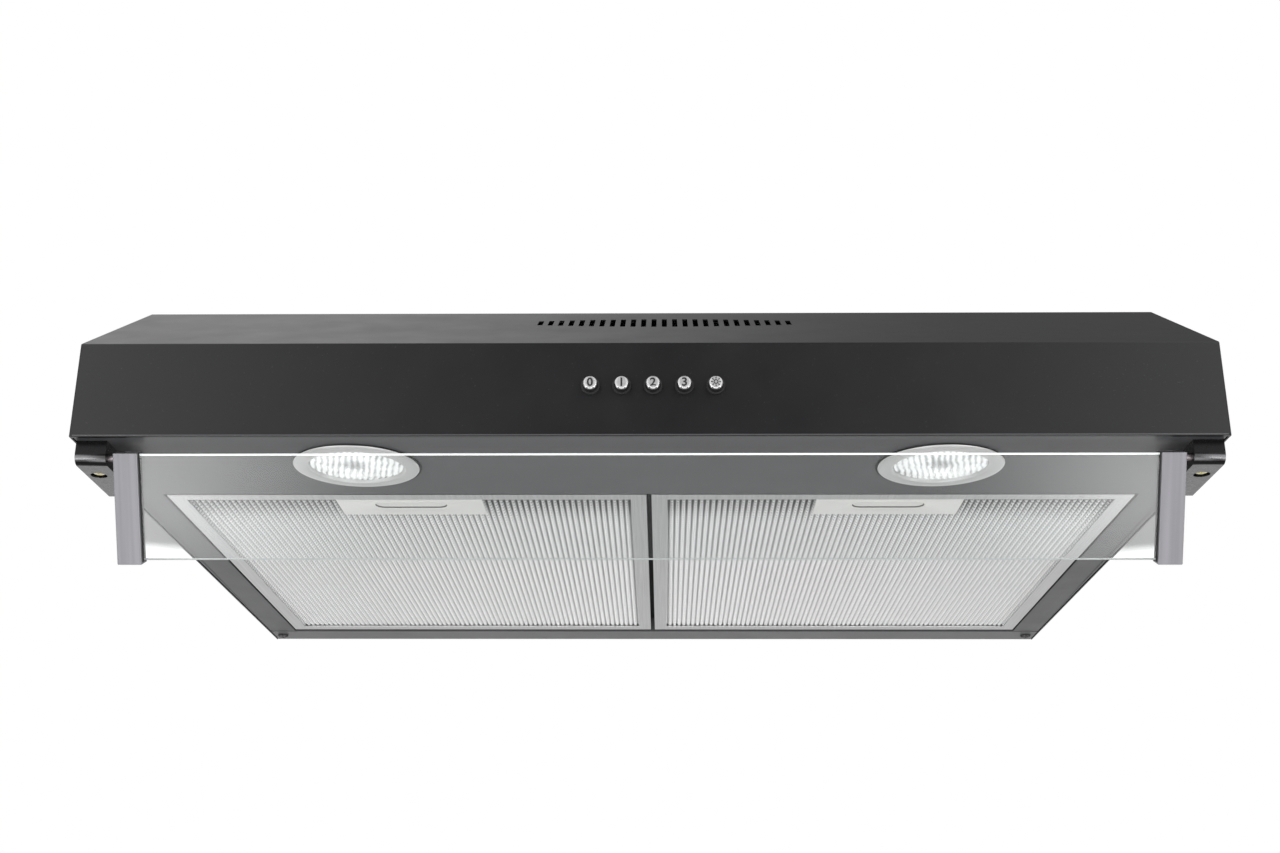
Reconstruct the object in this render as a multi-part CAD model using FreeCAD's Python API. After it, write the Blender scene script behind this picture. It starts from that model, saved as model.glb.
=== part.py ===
import FreeCAD, Part
import math
import os

# Slim range hood with a hinged glass visor, hung under a wall cabinet. Millimetres.
# +X is to the right seen from the front, +Y to the wall, +Z up. The origin is the centre of the
# four cabinet screws, on the top face. deep() counts from the front panel and high() from the underside.

V = FreeCAD.Vector

# Body
WIDTH = 598.0
DEPTH = 475.0
HEIGHT = 115.0
PANEL_HEIGHT = 52.0
SLOPE_RUN = 102.0
SHEET = 0.8
BEND_RADIUS = 1.4
BEND_REACH = 1.5
HEM_DEPTH = 2.0
HEM_HEIGHT = 10.0
EAR_REACH = 20.0
EAR_DEPTH = (452, 470)
EAR_GAP = 0.1
SIDE = WIDTH / 2
TOP_CUT = (HEIGHT - 3, HEIGHT + 1)
UNDER_CUT = (-1, 4)
BACK_LIP = 14.0
BACK_GAP = 0.2
BACK_FOOT = 0.3
SLIT_HALF = 20.0
SLOPE_RISE = HEIGHT - PANEL_HEIGHT
SLOPE_LENGTH = math.hypot(SLOPE_RUN, SLOPE_RISE)
SLOPE_ANGLE = math.degrees(math.atan2(SLOPE_RISE, SLOPE_RUN))

# Cabinet screws, whose centre is the origin
SCREW_SPACING_X = 500.0
SCREW_SPACING_Y = 230.0
SCREW_CENTRE_DEPTH = 285.0
CABINET_HOLE_RADIUS = 2.75
FRONT = -SCREW_CENTRE_DEPTH
BOTTOM = -HEIGHT

# Wall screws through the back panel
WALL_HOLE_SPACING = 440.0
WALL_HOLE_HEIGHT = 88.0
WALL_HOLE_RADIUS = 3.5

# Air slots in the slope
SLOT_COUNT = 25
SLOT_PITCH = 5.9
SLOT_WIDTH = 2.9
SLOT_ROW_X = 9.0
SLOT_SHORTEST = 14.0
SLOT_LONGEST = 31.0
SLOT_PLACE = 0.64

# Underside
FRAME_GAP = 0.3
FRAME_FRONT = 2.4
FLANGE = 11.0
UNDER_LOW = 0.3
UNDER_HIGH = UNDER_LOW + SHEET
RAIL_FRONT = 448.5
RAIL_BACK = DEPTH - SHEET - FRAME_GAP
RAIL_SCREW_X = 291.0
RAIL_SCREW_DEPTH = 461.0
RAIL_UPRIGHT = 14.0
RAIL_END = 24.0
RAIL_HEAD_RADIUS = 4.0
RAIL_HEAD_TALL = 1.8
SCREW_HOLE_RADIUS = 2.0
SCREW_RADIUS = 1.9
RECESS_WIDTH = 0.8
SIDE_FLANGE = 15.0
BAR_HALF = 14.0
BAR_RIB = 8.0

# Grease filters
FILTER_FRONT = 100.0
FILTER_BACK = 442.0
FILTER_SIDE = 277.0
FILTER_GAP = 3.0
FILTER_LOW = 0.5
FILTER_THICK = 9.0
FILTER_RIM = 9.0
FOIL = 0.8
WINDOW_CLEARANCE = 1.5
TAB_WIDTH = 18.0
TAB_REACH = 9.0
TAB_INSET = 50.0
TAB_LEVEL = (5.0, 6.2)
TAB_SLOT = (3.6, 12.4)
FACE_PITCH = 3.0
CORE_PITCH = 6.0
MESH_FOIL = 0.4
MESH_MARGIN = 1.2
MESH_LEVELS = (1.6, 3.6, 6.5)
FACE_RISE = 1.4
CORE_RISE = 2.2

# Filter latch
HANDLE_WIDTH = 85.0
HANDLE_FRONT = FILTER_FRONT + FILTER_RIM + 0.3
HANDLE_DEPTH = 30.0
POCKET_WIDTH = 42.0
POCKET_DEPTH = 11.0
POCKET_FRONT = HANDLE_FRONT + 5.5
POCKET_RISE = 5.0
CASE_HALF = 28.0
CASE_BACK = HANDLE_FRONT + 25.5
CASE_LEVEL = (1.5, 8.6)
TONGUE_HALF = 6.0
TONGUE_LEVEL = (3.4, 4.7)
TONGUE_GAP = 0.4
LATCH_SPRING_X = 10.0
LATCH_SPRING_LEVEL = 3.8

# Lamps
LAMP_X = 158.0
LAMP_DEPTH = 47.0
TRIM_RADIUS = 35.0
LENS_RADIUS = 25.5
LAMP_HOLE_RADIUS = 32.0
LENS_GAP = 0.3
LENS_STEP = 23.5
LENS_TOP = 2.3
TRIM_FACE = -1.4
TRIM_SLEEVE = (30.4, 31.6)
TRIM_SLEEVE_TOP = 16.0
LEDGE_RADIUS = 24.2
REFLECTOR_LEVEL = (3.6, 24.0)
REFLECTOR_RADII = (23.8, 9.0)
REFLECTOR_WALL = 0.8
REFLECTOR_RIM = 30.2

# Push buttons
BUTTON_COUNT = 5
BUTTON_PITCH = 16.3
BUTTON_ROW_X = 3.0
BUTTON_HEIGHT = 27.7
BUTTON_RADIUS = 3.9
BUTTON_REACH = 6.0
BUTTON_TAIL = 8.0
STEM_RADIUS = 2.0
COLLAR_RADIUS = 4.9
SLEEVE_REACH = (-1.2, 6)
RUNNING_GAP = 0.07
SWITCH_FRONT = 19.0
SWITCH_BACK = 43.0
SWITCH_HALF_TALL = 11.0
SWITCH_REACH = (BUTTON_COUNT - 1) / 2 * BUTTON_PITCH + 9
SWITCH_SPAN = (BUTTON_ROW_X - SWITCH_REACH, BUTTON_ROW_X + SWITCH_REACH)
STEM_REACH = 11.0
WELL_REACH = 16.0
GUIDE_STRIP = (SHEET + 0.05, 3)
GUIDE_HALF_TALL = 8.0
SHELF = 1.2

# Visor and its hinges
BRACKET_IN = 281.5
BRACKET_OUT = 297.5
BRACKET_FRONT = 7.0
BRACKET_BACK = 64.0
BRACKET_DROP = 12.0
BRACKET_SHEET = 1.2
KNUCKLE_RADIUS = 5.0
BRACKET_SCREW_X = 291.0
BRACKET_SCREW_DEPTH = 27.5
POST_RADIUS = 5.4
POST_FOOT = -8.6
HEAD_WELL_RADIUS = 4.3
BRACKET_HEAD_RADIUS = 3.4
BRACKET_HEAD_LOW = -11.0
PIVOT_DEPTH = 12.6
PIVOT_HEIGHT = -7.4
PIVOT_RADIUS = 2.0
PIVOT_GAP = 0.06
PIVOT_REACH = 5.0
VISOR_HALF = 278.0
VISOR_HEIGHT = 59.0
VISOR_LEAN = 27.4
VISOR_ABOVE = 3.1
VISOR_AHEAD = 4.4
ARM_WIDTH = 12.8
ARM_THICK = 9.0
GLASS_THICK = 4.0
GASKET = 0.6
GLASS_IN_ARM = 8.0
GLASS_FOOT = 2.0
GLASS_HEAD = 1.0
SLOT_FOOT = GLASS_FOOT - 0.8
GASKET_HEAD = 0.4

# Blower
FAN_X = -160.0
FAN_DEPTH = 325.0
FAN_LOW = 44.0
FAN_SPLIT = 78.0
FAN_HIGH = 112.5
FAN_WALL = 2.5
SCROLL_STEP = 16.0
SCROLL_RADIUS = 95.0
INLET_RADIUS = 62.0
IMPELLER_RADIUS = 80.0
BLADE_INNER_RADIUS = 65.0
BLADE_COUNT = 36
BLADE_LOW = 50.0
BLADE_HIGH = 100.0
BLADE_ARC = (8.4, 9.6)
BLADE_CENTRE = (71.5, 5.0)
RIM_THICK = 1.5
SHAFT_RADIUS = 4.0
SHAFT_LEVEL = (52.0, 103.6)
BEARING_RADIUS = 9.0
BEARING_TALL = 6.0
BEARING_LEVELS = (66.0, 98.0)
BEARING_GAP = 0.05
ROTOR_RADIUS = 20.0
ROTOR_LEVEL = (74.0, 96.0)
MOTOR_PLATE_RADIUS = 52.0
MOTOR_PLATE_BORE = 12.0
MOTOR_PLATE_LEVEL = (104.0, 105.6)
MOUNT_RADIUS = 6.0
MOUNT_CIRCLE = 45.0
BOSS_RADIUS = 5.0
BOSS_BORE = 2.1
BOSS_STAND = 2.5
HOUSING_HEAD_RADIUS = 3.6
HOUSING_HEAD_TALL = 2.4
GUARD_RADII = (12, 24, 36, 48)
GUARD_WIDTH = 2.0
GUARD_SPOKES = 4
LEAD_WAY_X = 20.0
LEAD_WAY_RADIUS = 5.0

# Outlet box, collar and flaps
OUTLET_HALF = 66.0
OUTLET_FRONT = 320.0
COLLAR_DEPTH = 390.0
COLLAR_OUTER = 60.0
COLLAR_INNER = 58.0
COLLAR_TALL = 42.0
COLLAR_FOOT = 2.2
COLLAR_NECK = 59.4
COLLAR_FLANGE = 72.0
COLLAR_FLANGE_THICK = 2.0
COLLAR_HOLE_GAP = 1.0
THROAT_RADIUS = COLLAR_INNER - 1
LEDGE_WIDTH = 2.0
LEDGE_DROP = (3.2, 2.2)
LEDGE_BREAK = 9.0
FLAP_LEVEL = 12.0
FLAP_AXIS_X = 4.0
FLAP_THICK = 1.6
FLAP_EDGE_GAP = 0.8
FLAP_PIN_RADIUS = 1.5
FLAP_PIN_REACH = 59.3
PIN_GAP = 0.06
PAST_COLLAR = 70.0
WAY_MARGIN = 6.0
DIVERTER_DEPTH = 327.0
DIVERTER_LEVEL = 104.0
DIVERTER_SHAFT_RADIUS = 2.5
DIVERTER_KNOB_LEVEL = 32.0
DIVERTER_KNOB_RADIUS = 7.0
DIVERTER_HUB_RADIUS = 6.0
LEAF_BACK = (3.5, 1.5)
LEAF_END_GAP = 3.5
DUCT_HALF = 80.0
DUCT_WALL = 1.6
DUCT_FRONT = 20.0
DUCT_LIFT = 4.0

# Electrics
BOX_X = (165.0, 268.0)
BOX_DEPTH = (380.0, 460.0)
BOX_LOW = 74.0
GLAND_X = 245.0
GLAND_DEPTH = 425.0
GLAND_BORE = 4.2
GLAND_HOLE_RADIUS = 8.2
BOX_WALL = 2.0
LEAD_ENTRY_X = 30.0
LEAD_ENTRY_LEVEL = 12.0
TERMINALS = 5
TERMINAL_PITCH = 11.0
CAPACITOR_RADIUS = 13.0
CAPACITOR_GAP = 0.3
SUPPLY_RADIUS = 2.6
LAMP_LEAD_RADIUS = 1.8


def deep(distance):
    """Y of a point this far behind the front panel."""
    return FRONT + distance


def high(distance):
    """Z of a point this far above the underside."""
    return BOTTOM + distance


def block(x, y, z):
    """A box between pairs of lows and highs: X, depth and height."""
    corner = V(x[0], deep(y[0]), high(z[0]))
    return Part.makeBox(x[1] - x[0], y[1] - y[0], z[1] - z[0], corner)


def upright(radius, x, y, z):
    """A vertical cylinder at X and depth, between two heights."""
    return Part.makeCylinder(radius, z[1] - z[0], V(x, deep(y), high(z[0])))


def lengthwise(radius, x, y, z):
    """A cylinder along X between two X values."""
    return Part.makeCylinder(radius, x[1] - x[0], V(x[0], deep(y), high(z)), V(1, 0, 0))


def inward(radius, x, y, z):
    """A cylinder along Y between two depths."""
    return Part.makeCylinder(radius, y[1] - y[0], V(x, deep(y[0]), high(z)), V(0, 1, 0))


def joined(shapes):
    """One solid made of touching or overlapping ones."""
    first, rest = shapes[0], list(shapes[1:])
    return first.multiFuse(rest).removeSplitter() if rest else first


def turned(profile, x, y):
    """A body of revolution about the vertical through X and depth. The profile is (radius, height)."""
    points = [V(x + radius, deep(y), high(height)) for radius, height in profile]
    face = Part.Face(Part.makePolygon(points + points[:1]))
    return face.revolve(V(x, deep(y), 0), V(0, 0, 1), 360)


def across(outline, x):
    """A side outline of (depth, height) points, extruded between two X values."""
    points = [V(x[0], deep(depth), high(height)) for depth, height in outline]
    return Part.Face(Part.makePolygon(points + points[:1])).extrude(V(x[1] - x[0], 0, 0))


def rounded(shape, radius, chosen):
    """The shape with a radius on the edges that a test picks."""
    return shape.makeFillet(radius, [edge for edge in shape.Edges if chosen(edge)])


def coil(radius, wire, length, turns, start, direction):
    """A compression spring from start along direction, its ends left open."""
    helix = Part.makeHelix(length / turns, length, radius)
    section = Part.Wire(Part.makeCircle(wire, V(radius, 0, 0), V(0, 1, 0)))
    spring = Part.Wire(helix).makePipeShell([section], True, True)
    spring.Placement = FreeCAD.Placement(start, FreeCAD.Rotation(V(0, 0, 1), direction))
    return spring


def save(name, *solids):
    shape = solids[0] if len(solids) == 1 else Part.makeCompound(list(solids))
    shape.exportStep("parts/" + name + ".step")


def side_outline(inset):
    """The body's side outline moved inwards, from the front's foot round to the back's foot."""
    slant = inset * SLOPE_LENGTH / SLOPE_RUN
    knee = PANEL_HEIGHT + inset * SLOPE_RISE / SLOPE_RUN - slant
    top = HEIGHT - inset
    ridge = (top - PANEL_HEIGHT + slant) * SLOPE_RUN / SLOPE_RISE
    foot = 0 if inset == 0 else -1
    rear = DEPTH if inset == 0 else DEPTH + 1
    return [(inset, foot), (inset, knee), (ridge, top), (rear, top), (rear, foot)]


def body_volume(inset, radius):
    """The space inside the body's sheet at an inset, with its two bends rounded."""
    outline = side_outline(inset)
    solid = across(outline, (-SIDE + inset, SIDE - inset))
    bends = [(deep(depth), high(height)) for depth, height in outline[1:3]]

    def is_bend(edge):
        place = edge.CenterOfMass
        return any(abs(place.y - y) + abs(place.z - z) < 0.01 for y, z in bends)

    return rounded(solid, radius, is_bend)


def button_places():
    middle = (BUTTON_COUNT - 1) / 2
    return [BUTTON_ROW_X + (i - middle) * BUTTON_PITCH for i in range(BUTTON_COUNT)]


def air_slots():
    """Slots along the slope, longest in the middle."""
    cutters = []
    middle = (SLOT_COUNT - 1) / 2
    for i in range(SLOT_COUNT):
        offset = (i - middle) / (middle + 1)
        length = SLOT_SHORTEST + (SLOT_LONGEST - SLOT_SHORTEST) * (1 - offset * offset)
        cutter = Part.makeBox(SLOT_WIDTH, length, 6, V(-SLOT_WIDTH / 2, -length / 2, -3))
        cutter.rotate(V(), V(1, 0, 0), SLOPE_ANGLE)
        x = SLOT_ROW_X + (i - middle) * SLOT_PITCH
        cutter.translate(V(x, deep(SLOPE_RUN * SLOT_PLACE), high(PANEL_HEIGHT + SLOPE_RISE * SLOT_PLACE)))
        cutters.append(cutter)
    return cutters


def canopy():
    """Front, slope and top are parted just past their bends, between two sides. The back is a panel of its own."""
    sheet = body_volume(0, BEND_RADIUS).cut(body_volume(SHEET, BEND_RADIUS - SHEET))
    inner = SIDE - SHEET
    knee, ridge = PANEL_HEIGHT - BEND_REACH, SLOPE_RUN + BEND_REACH
    front = sheet.common(block((-inner, inner), (-1, DEPTH), (-1, knee)))
    hem = block((-inner, inner), (SHEET, HEM_DEPTH), (0, HEM_HEIGHT))
    slope = sheet.common(block((-inner, inner), (-1, ridge), (knee, HEIGHT + 1)))
    top = sheet.common(block((-inner, inner), (ridge, DEPTH + 1), (knee, HEIGHT + 1)))
    panels = [joined([front, hem]), slope, top]
    for side in (-1, 1):
        ear = block(sorted((side * inner, side * (inner - EAR_REACH))), EAR_DEPTH,
                    (UNDER_HIGH + EAR_GAP, UNDER_HIGH + EAR_GAP + SHEET))
        wall = sheet.common(block(sorted((side * inner, side * SIDE)), (-1, DEPTH + 1), (-1, HEIGHT + 1)))
        panels.append(joined([wall, ear]))
    holes = air_slots()
    for x in button_places():
        holes.append(inward(COLLAR_RADIUS + 0.05, x, (-1, 4), BUTTON_HEIGHT))
    for x in (-SCREW_SPACING_X / 2, SCREW_SPACING_X / 2):
        for y in (-SCREW_SPACING_Y / 2, SCREW_SPACING_Y / 2):
            holes.append(upright(CABINET_HOLE_RADIUS, x, SCREW_CENTRE_DEPTH + y, TOP_CUT))
    holes.append(upright(COLLAR_OUTER + COLLAR_HOLE_GAP, 0, COLLAR_DEPTH, TOP_CUT))
    holes.append(upright(GLAND_HOLE_RADIUS, GLAND_X, GLAND_DEPTH, TOP_CUT))
    for side in (-1, 1):
        holes.append(upright(SCREW_HOLE_RADIUS, side * RAIL_SCREW_X, RAIL_SCREW_DEPTH, UNDER_CUT))
    save("canopy_shell", *[panel.cut(holes).Solids[0] for panel in panels])

    width = inner - FRAME_GAP
    plate_top = HEIGHT - SHEET - BACK_GAP
    plate = block((-width, width), (DEPTH - SHEET, DEPTH), (BACK_FOOT, plate_top))
    lip = block((-width, width), (DEPTH - BACK_LIP, DEPTH), (plate_top - SHEET, plate_top))
    slit = block((GLAND_X - SLIT_HALF, GLAND_X + SLIT_HALF), (DEPTH - BACK_LIP - 1, DEPTH - 2), TOP_CUT)
    wall_holes = [
        inward(WALL_HOLE_RADIUS, side * WALL_HOLE_SPACING / 2, (DEPTH - 3, DEPTH + 1), WALL_HOLE_HEIGHT)
        for side in (-1, 1)
    ]
    save("back_panel", joined([plate, lip]).cut([slit] + wall_holes))


def cross_recess(x, y, reach, z):
    """Two crossed slots in a screw's head."""
    half = RECESS_WIDTH / 2
    return [block((x - a, x + a), (y - b, y + b), z) for a, b in ((reach, half), (half, reach))]


def underside():
    """A pressed frame round the filters, a rear rail and a bar between the filters."""
    edge = SIDE - SHEET - FRAME_GAP
    window = FILTER_SIDE + WINDOW_CLEARANCE
    window_front = FILTER_FRONT - WINDOW_CLEARANCE
    seam = RAIL_FRONT - 2.0
    sheet = block((-edge, edge), (FRAME_FRONT, seam), (UNDER_LOW, UNDER_HIGH))
    sheet = sheet.cut(block((-window, window), (window_front, seam + 1), UNDER_CUT))
    parts = [sheet]
    parts.append(block((-edge, edge), (FRAME_FRONT, FRAME_FRONT + SHEET), (UNDER_LOW, FLANGE)))
    parts.append(block((-window, window), (window_front - SHEET, window_front), (UNDER_LOW, FLANGE)))
    for side in (-1, 1):
        outer = sorted((side * edge, side * (edge - SHEET)))
        guide = sorted((side * window, side * (window + SHEET)))
        parts.append(block(outer, (FRAME_FRONT, seam), (UNDER_LOW, SIDE_FLANGE)))
        parts.append(block(guide, (window_front - SHEET, seam), (UNDER_LOW, FLANGE)))
    holes = []
    for side in (-1, 1):
        holes.append(upright(LAMP_HOLE_RADIUS, side * LAMP_X, LAMP_DEPTH, UNDER_CUT))
        holes.append(upright(SCREW_HOLE_RADIUS, side * BRACKET_SCREW_X, BRACKET_SCREW_DEPTH, UNDER_CUT))
    save("underside_frame", joined(parts).cut(holes))

    bar = block((-BAR_HALF, BAR_HALF), (window_front, RAIL_FRONT), (FLANGE, FLANGE + SHEET))
    ribs = [
        block(span, (window_front, RAIL_FRONT), (FLANGE, FLANGE + BAR_RIB))
        for span in ((-BAR_HALF, SHEET - BAR_HALF), (BAR_HALF - SHEET, BAR_HALF))
    ]
    save("centre_bar", joined([bar] + ribs))

    rail = joined(
        [
            block((-edge, edge), (RAIL_FRONT, RAIL_BACK), (UNDER_LOW, UNDER_HIGH)),
            block((-edge, edge), (RAIL_FRONT, RAIL_FRONT + SHEET), (UNDER_LOW, RAIL_UPRIGHT)),
            block((RAIL_END - edge, edge - RAIL_END), (RAIL_BACK - SHEET, RAIL_BACK),
                  (UNDER_LOW, RAIL_UPRIGHT)),
        ]
    )
    cuts = []
    for x in tab_places():
        half = TAB_WIDTH / 2 + 1
        cuts.append(block((x - half, x + half), (RAIL_FRONT - 1, RAIL_FRONT + 2), TAB_SLOT))
    for side in (-1, 1):
        cuts.append(upright(SCREW_HOLE_RADIUS, side * RAIL_SCREW_X, RAIL_SCREW_DEPTH, UNDER_CUT))
    save("rear_rail", rail.cut(cuts))
    screws = []
    head_low = UNDER_LOW - RAIL_HEAD_TALL
    for side in (-1, 1):
        place = side * RAIL_SCREW_X, RAIL_SCREW_DEPTH
        head = upright(RAIL_HEAD_RADIUS, *place, (head_low, UNDER_LOW))
        head = rounded(head, 1.0, lambda edge: edge.CenterOfMass.z < high(head_low + 0.1))
        shank = upright(SCREW_RADIUS, *place, (UNDER_LOW, 9))
        screws.append(joined([head, shank]).cut(cross_recess(*place, 2.2, (head_low - 1, head_low + 0.8))))
    save("rail_screws", *screws)


def filter_spans():
    """X spans of the left and the right filter."""
    half_gap = FILTER_GAP / 2
    return {"left": (-FILTER_SIDE, -half_gap), "right": (half_gap, FILTER_SIDE)}


def tab_places():
    """X of each tab that slips into the rear rail."""
    return [end for low, highest in filter_spans().values() for end in (low + TAB_INSET, highest - TAB_INSET)]


def zigzag(count, pitch, low, rise):
    """A folded foil's section: out along its lower side and back along its upper side."""
    lower = [(i * pitch / 2, low + rise * (i % 2)) for i in range(2 * count + 1)]
    upper = [(place, level + MESH_FOIL) for place, level in reversed(lower)]
    return lower + upper


def ridges_along_y(x, pitch, low, rise):
    """Folded foil with its ridges running from front to back."""
    count = int((x[1] - x[0]) / pitch)
    start = (x[0] + x[1] - count * pitch) / 2
    front, back = FILTER_FRONT + MESH_MARGIN, FILTER_BACK - MESH_MARGIN
    points = [V(start + place, deep(front), high(level)) for place, level in zigzag(count, pitch, low, rise)]
    return Part.Face(Part.makePolygon(points + points[:1])).extrude(V(0, back - front, 0))


def ridges_along_x(x, pitch, low, rise):
    """Folded foil with its ridges running from side to side."""
    count = int((FILTER_BACK - FILTER_FRONT - 2 * MESH_MARGIN) / pitch)
    start = (FILTER_FRONT + FILTER_BACK - count * pitch) / 2
    section = [(start + place, level) for place, level in zigzag(count, pitch, low, rise)]
    return across(section, x)


def around(room, foil):
    """A filter's foil in three parts, beside the latch on both sides and behind it."""
    limit = CASE_BACK + 1
    zones = [((-SIDE, room[0]), (0, limit)), ((room[1], SIDE), (0, limit)), ((-SIDE, SIDE), (limit, DEPTH))]
    return [foil.common(block(x, y, (0, FILTER_LOW + FILTER_THICK))).Solids[0] for x, y in zones]


def filters():
    low, top = FILTER_LOW, FILTER_LOW + FILTER_THICK
    for side, (x0, x1) in filter_spans().items():
        middle = (x0 + x1) / 2
        frame = block((x0, x1), (FILTER_FRONT, FILTER_BACK), (low, top))
        hollow = block((x0 + FOIL, x1 - FOIL), (FILTER_FRONT + FOIL, FILTER_BACK - FOIL),
                       (low + FOIL, top - FOIL))
        opening = block((x0 + FILTER_RIM, x1 - FILTER_RIM),
                        (FILTER_FRONT + FILTER_RIM, FILTER_BACK - FILTER_RIM), (low - 1, top + 1))
        tongue_x = (middle - TONGUE_HALF - TONGUE_GAP, middle + TONGUE_HALF + TONGUE_GAP)
        tongue_z = (TONGUE_LEVEL[0] - TONGUE_GAP, TONGUE_LEVEL[1] + TONGUE_GAP)
        tongue_slot = block(tongue_x, (FILTER_FRONT - 1, FILTER_FRONT + 2), tongue_z)
        tabs = [
            block((x - TAB_WIDTH / 2, x + TAB_WIDTH / 2), (FILTER_BACK - FOIL, FILTER_BACK + TAB_REACH),
                  TAB_LEVEL)
            for x in (x0 + TAB_INSET, x1 - TAB_INSET)
        ]
        save("filter_" + side + "_frame", joined([frame.cut([hollow, opening, tongue_slot])] + tabs))

        case_outer = block((middle - CASE_HALF - FOIL, middle + CASE_HALF + FOIL),
                           (HANDLE_FRONT, CASE_BACK + FOIL), CASE_LEVEL)
        case_inner = block((middle - CASE_HALF, middle + CASE_HALF),
                           (HANDLE_FRONT + FOIL, CASE_BACK), (0, CASE_LEVEL[1] - FOIL))
        tongue_way = block(tongue_x, (HANDLE_FRONT - 1, HANDLE_FRONT + 2), tongue_z)
        save("filter_" + side + "_latch_case", case_outer.cut([case_inner, tongue_way]))

        inside = (x0 + MESH_MARGIN, x1 - MESH_MARGIN)
        room = (middle - CASE_HALF - 1, middle + CASE_HALF + 1)
        face = ridges_along_y(inside, FACE_PITCH, MESH_LEVELS[0], FACE_RISE)
        core = ridges_along_x(inside, CORE_PITCH, MESH_LEVELS[1], CORE_RISE)
        back = ridges_along_y(inside, FACE_PITCH, MESH_LEVELS[2], FACE_RISE)
        save("filter_" + side + "_mesh", *around(room, face), *around(room, core), *around(room, back))
        latch(side, middle)


def stadium(x, y, width, depth, z):
    """An upright block with round ends."""
    radius = depth / 2
    reach = width / 2 - radius
    middle = block((x - reach, x + reach), (y, y + depth), z)
    ends = [upright(radius, x + side * reach, y + radius, z) for side in (-1, 1)]
    return joined([middle] + ends)


def latch(side, middle):
    """A sliding handle with a finger pocket, whose tongue points forwards, and its spring."""
    half = HANDLE_WIDTH / 2
    plate_low, plate_top = FILTER_LOW - 0.1, FILTER_LOW + FOIL
    plate = block((middle - half, middle + half), (HANDLE_FRONT, HANDLE_FRONT + HANDLE_DEPTH),
                  (plate_low, plate_top))
    ceiling = plate_low + POCKET_RISE
    cup = stadium(middle, POCKET_FRONT - FOIL, POCKET_WIDTH + 2 * FOIL, POCKET_DEPTH + 2 * FOIL,
                  (plate_low, ceiling + FOIL))
    hollow = stadium(middle, POCKET_FRONT, POCKET_WIDTH, POCKET_DEPTH, (plate_low - 1, ceiling))
    tongue = block((middle - TONGUE_HALF, middle + TONGUE_HALF), (FILTER_FRONT - 0.8, POCKET_FRONT),
                   TONGUE_LEVEL)
    save("filter_" + side + "_latch_handle", joined([plate, cup, tongue]).cut(hollow))
    start = POCKET_FRONT + POCKET_DEPTH + FOIL
    room = CASE_BACK - start - 0.8
    springs = [
        coil(1.7, 0.3, room, 5, V(middle + x, deep(start + 0.4), high(LATCH_SPRING_LEVEL)), V(0, 1, 0))
        for x in (-LATCH_SPRING_X, LATCH_SPRING_X)
    ]
    save("filter_" + side + "_latch_springs", *springs)


def bowl(x, y, wide, narrow, low, top, wall):
    """A reflector's shell: an arc turned about the vertical."""
    def point(radius, height):
        return V(x + radius, deep(y), high(height))

    bulge = 0.86
    middle = ((wide + narrow) / 2 * 1.06, low + (top - low) * (1 - bulge / 2))
    inner = Part.Arc(point(wide, low), point(*middle), point(narrow, top)).toShape()
    outer = Part.Arc(point(wide + wall, low), point(middle[0] + wall * 0.8, middle[1] + wall * 0.6),
                     point(narrow + wall * 0.4, top + wall)).toShape()
    ends = [Part.makeLine(point(narrow, top), point(narrow + wall * 0.4, top + wall)),
            Part.makeLine(point(wide, low), point(wide + wall, low))]
    face = Part.Face(Part.Wire(Part.__sortEdges__([inner, ends[0], outer, ends[1]])))
    return face.revolve(V(x, deep(y), 0), V(0, 0, 1), 360)


def lamps():
    for side, x in (("left", -LAMP_X), ("right", LAMP_X)):
        sleeve_in, sleeve_out = TRIM_SLEEVE
        trim = [(LENS_RADIUS + LENS_GAP, TRIM_FACE), (TRIM_RADIUS - 1.4, TRIM_FACE), (TRIM_RADIUS, TRIM_FACE + 1),
                (TRIM_RADIUS, UNDER_LOW), (sleeve_out, UNDER_LOW), (sleeve_out, TRIM_SLEEVE_TOP),
                (sleeve_in, TRIM_SLEEVE_TOP), (sleeve_in, LENS_TOP + 1.1), (LEDGE_RADIUS, LENS_TOP + 1.1),
                (LEDGE_RADIUS, LENS_TOP + 0.2), (LENS_RADIUS + LENS_GAP, LENS_TOP + 0.2)]
        save("lamp_trim_" + side, turned(trim, x, LAMP_DEPTH))
        lens = turned([(0, -2.0), (10, -1.8), (18, -1.4), (LENS_RADIUS, -0.7), (LENS_RADIUS, 1.0),
                       (LENS_STEP, 1.0), (LENS_STEP, LENS_TOP), (0, LENS_TOP)], x, LAMP_DEPTH)
        save("lamp_lens_" + side, lens)
        wide, narrow = REFLECTOR_RADII
        low, top = REFLECTOR_LEVEL
        rim = turned([(wide, low), (REFLECTOR_RIM, low), (REFLECTOR_RIM, low + REFLECTOR_WALL),
                      (wide, low + REFLECTOR_WALL)], x, LAMP_DEPTH)
        shade = bowl(x, LAMP_DEPTH, wide, narrow, low, top, REFLECTOR_WALL)
        save("lamp_reflector_" + side, joined([shade, rim]))
        emitter = turned([(0, 18.5), (2.5, 18.9), (4, 20.5), (4, 22), (8.4, 22), (8.4, 26), (14, 26), (14, 40),
                          (0, 40)], x, LAMP_DEPTH)
        save("lamp_led_" + side, emitter)


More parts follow.
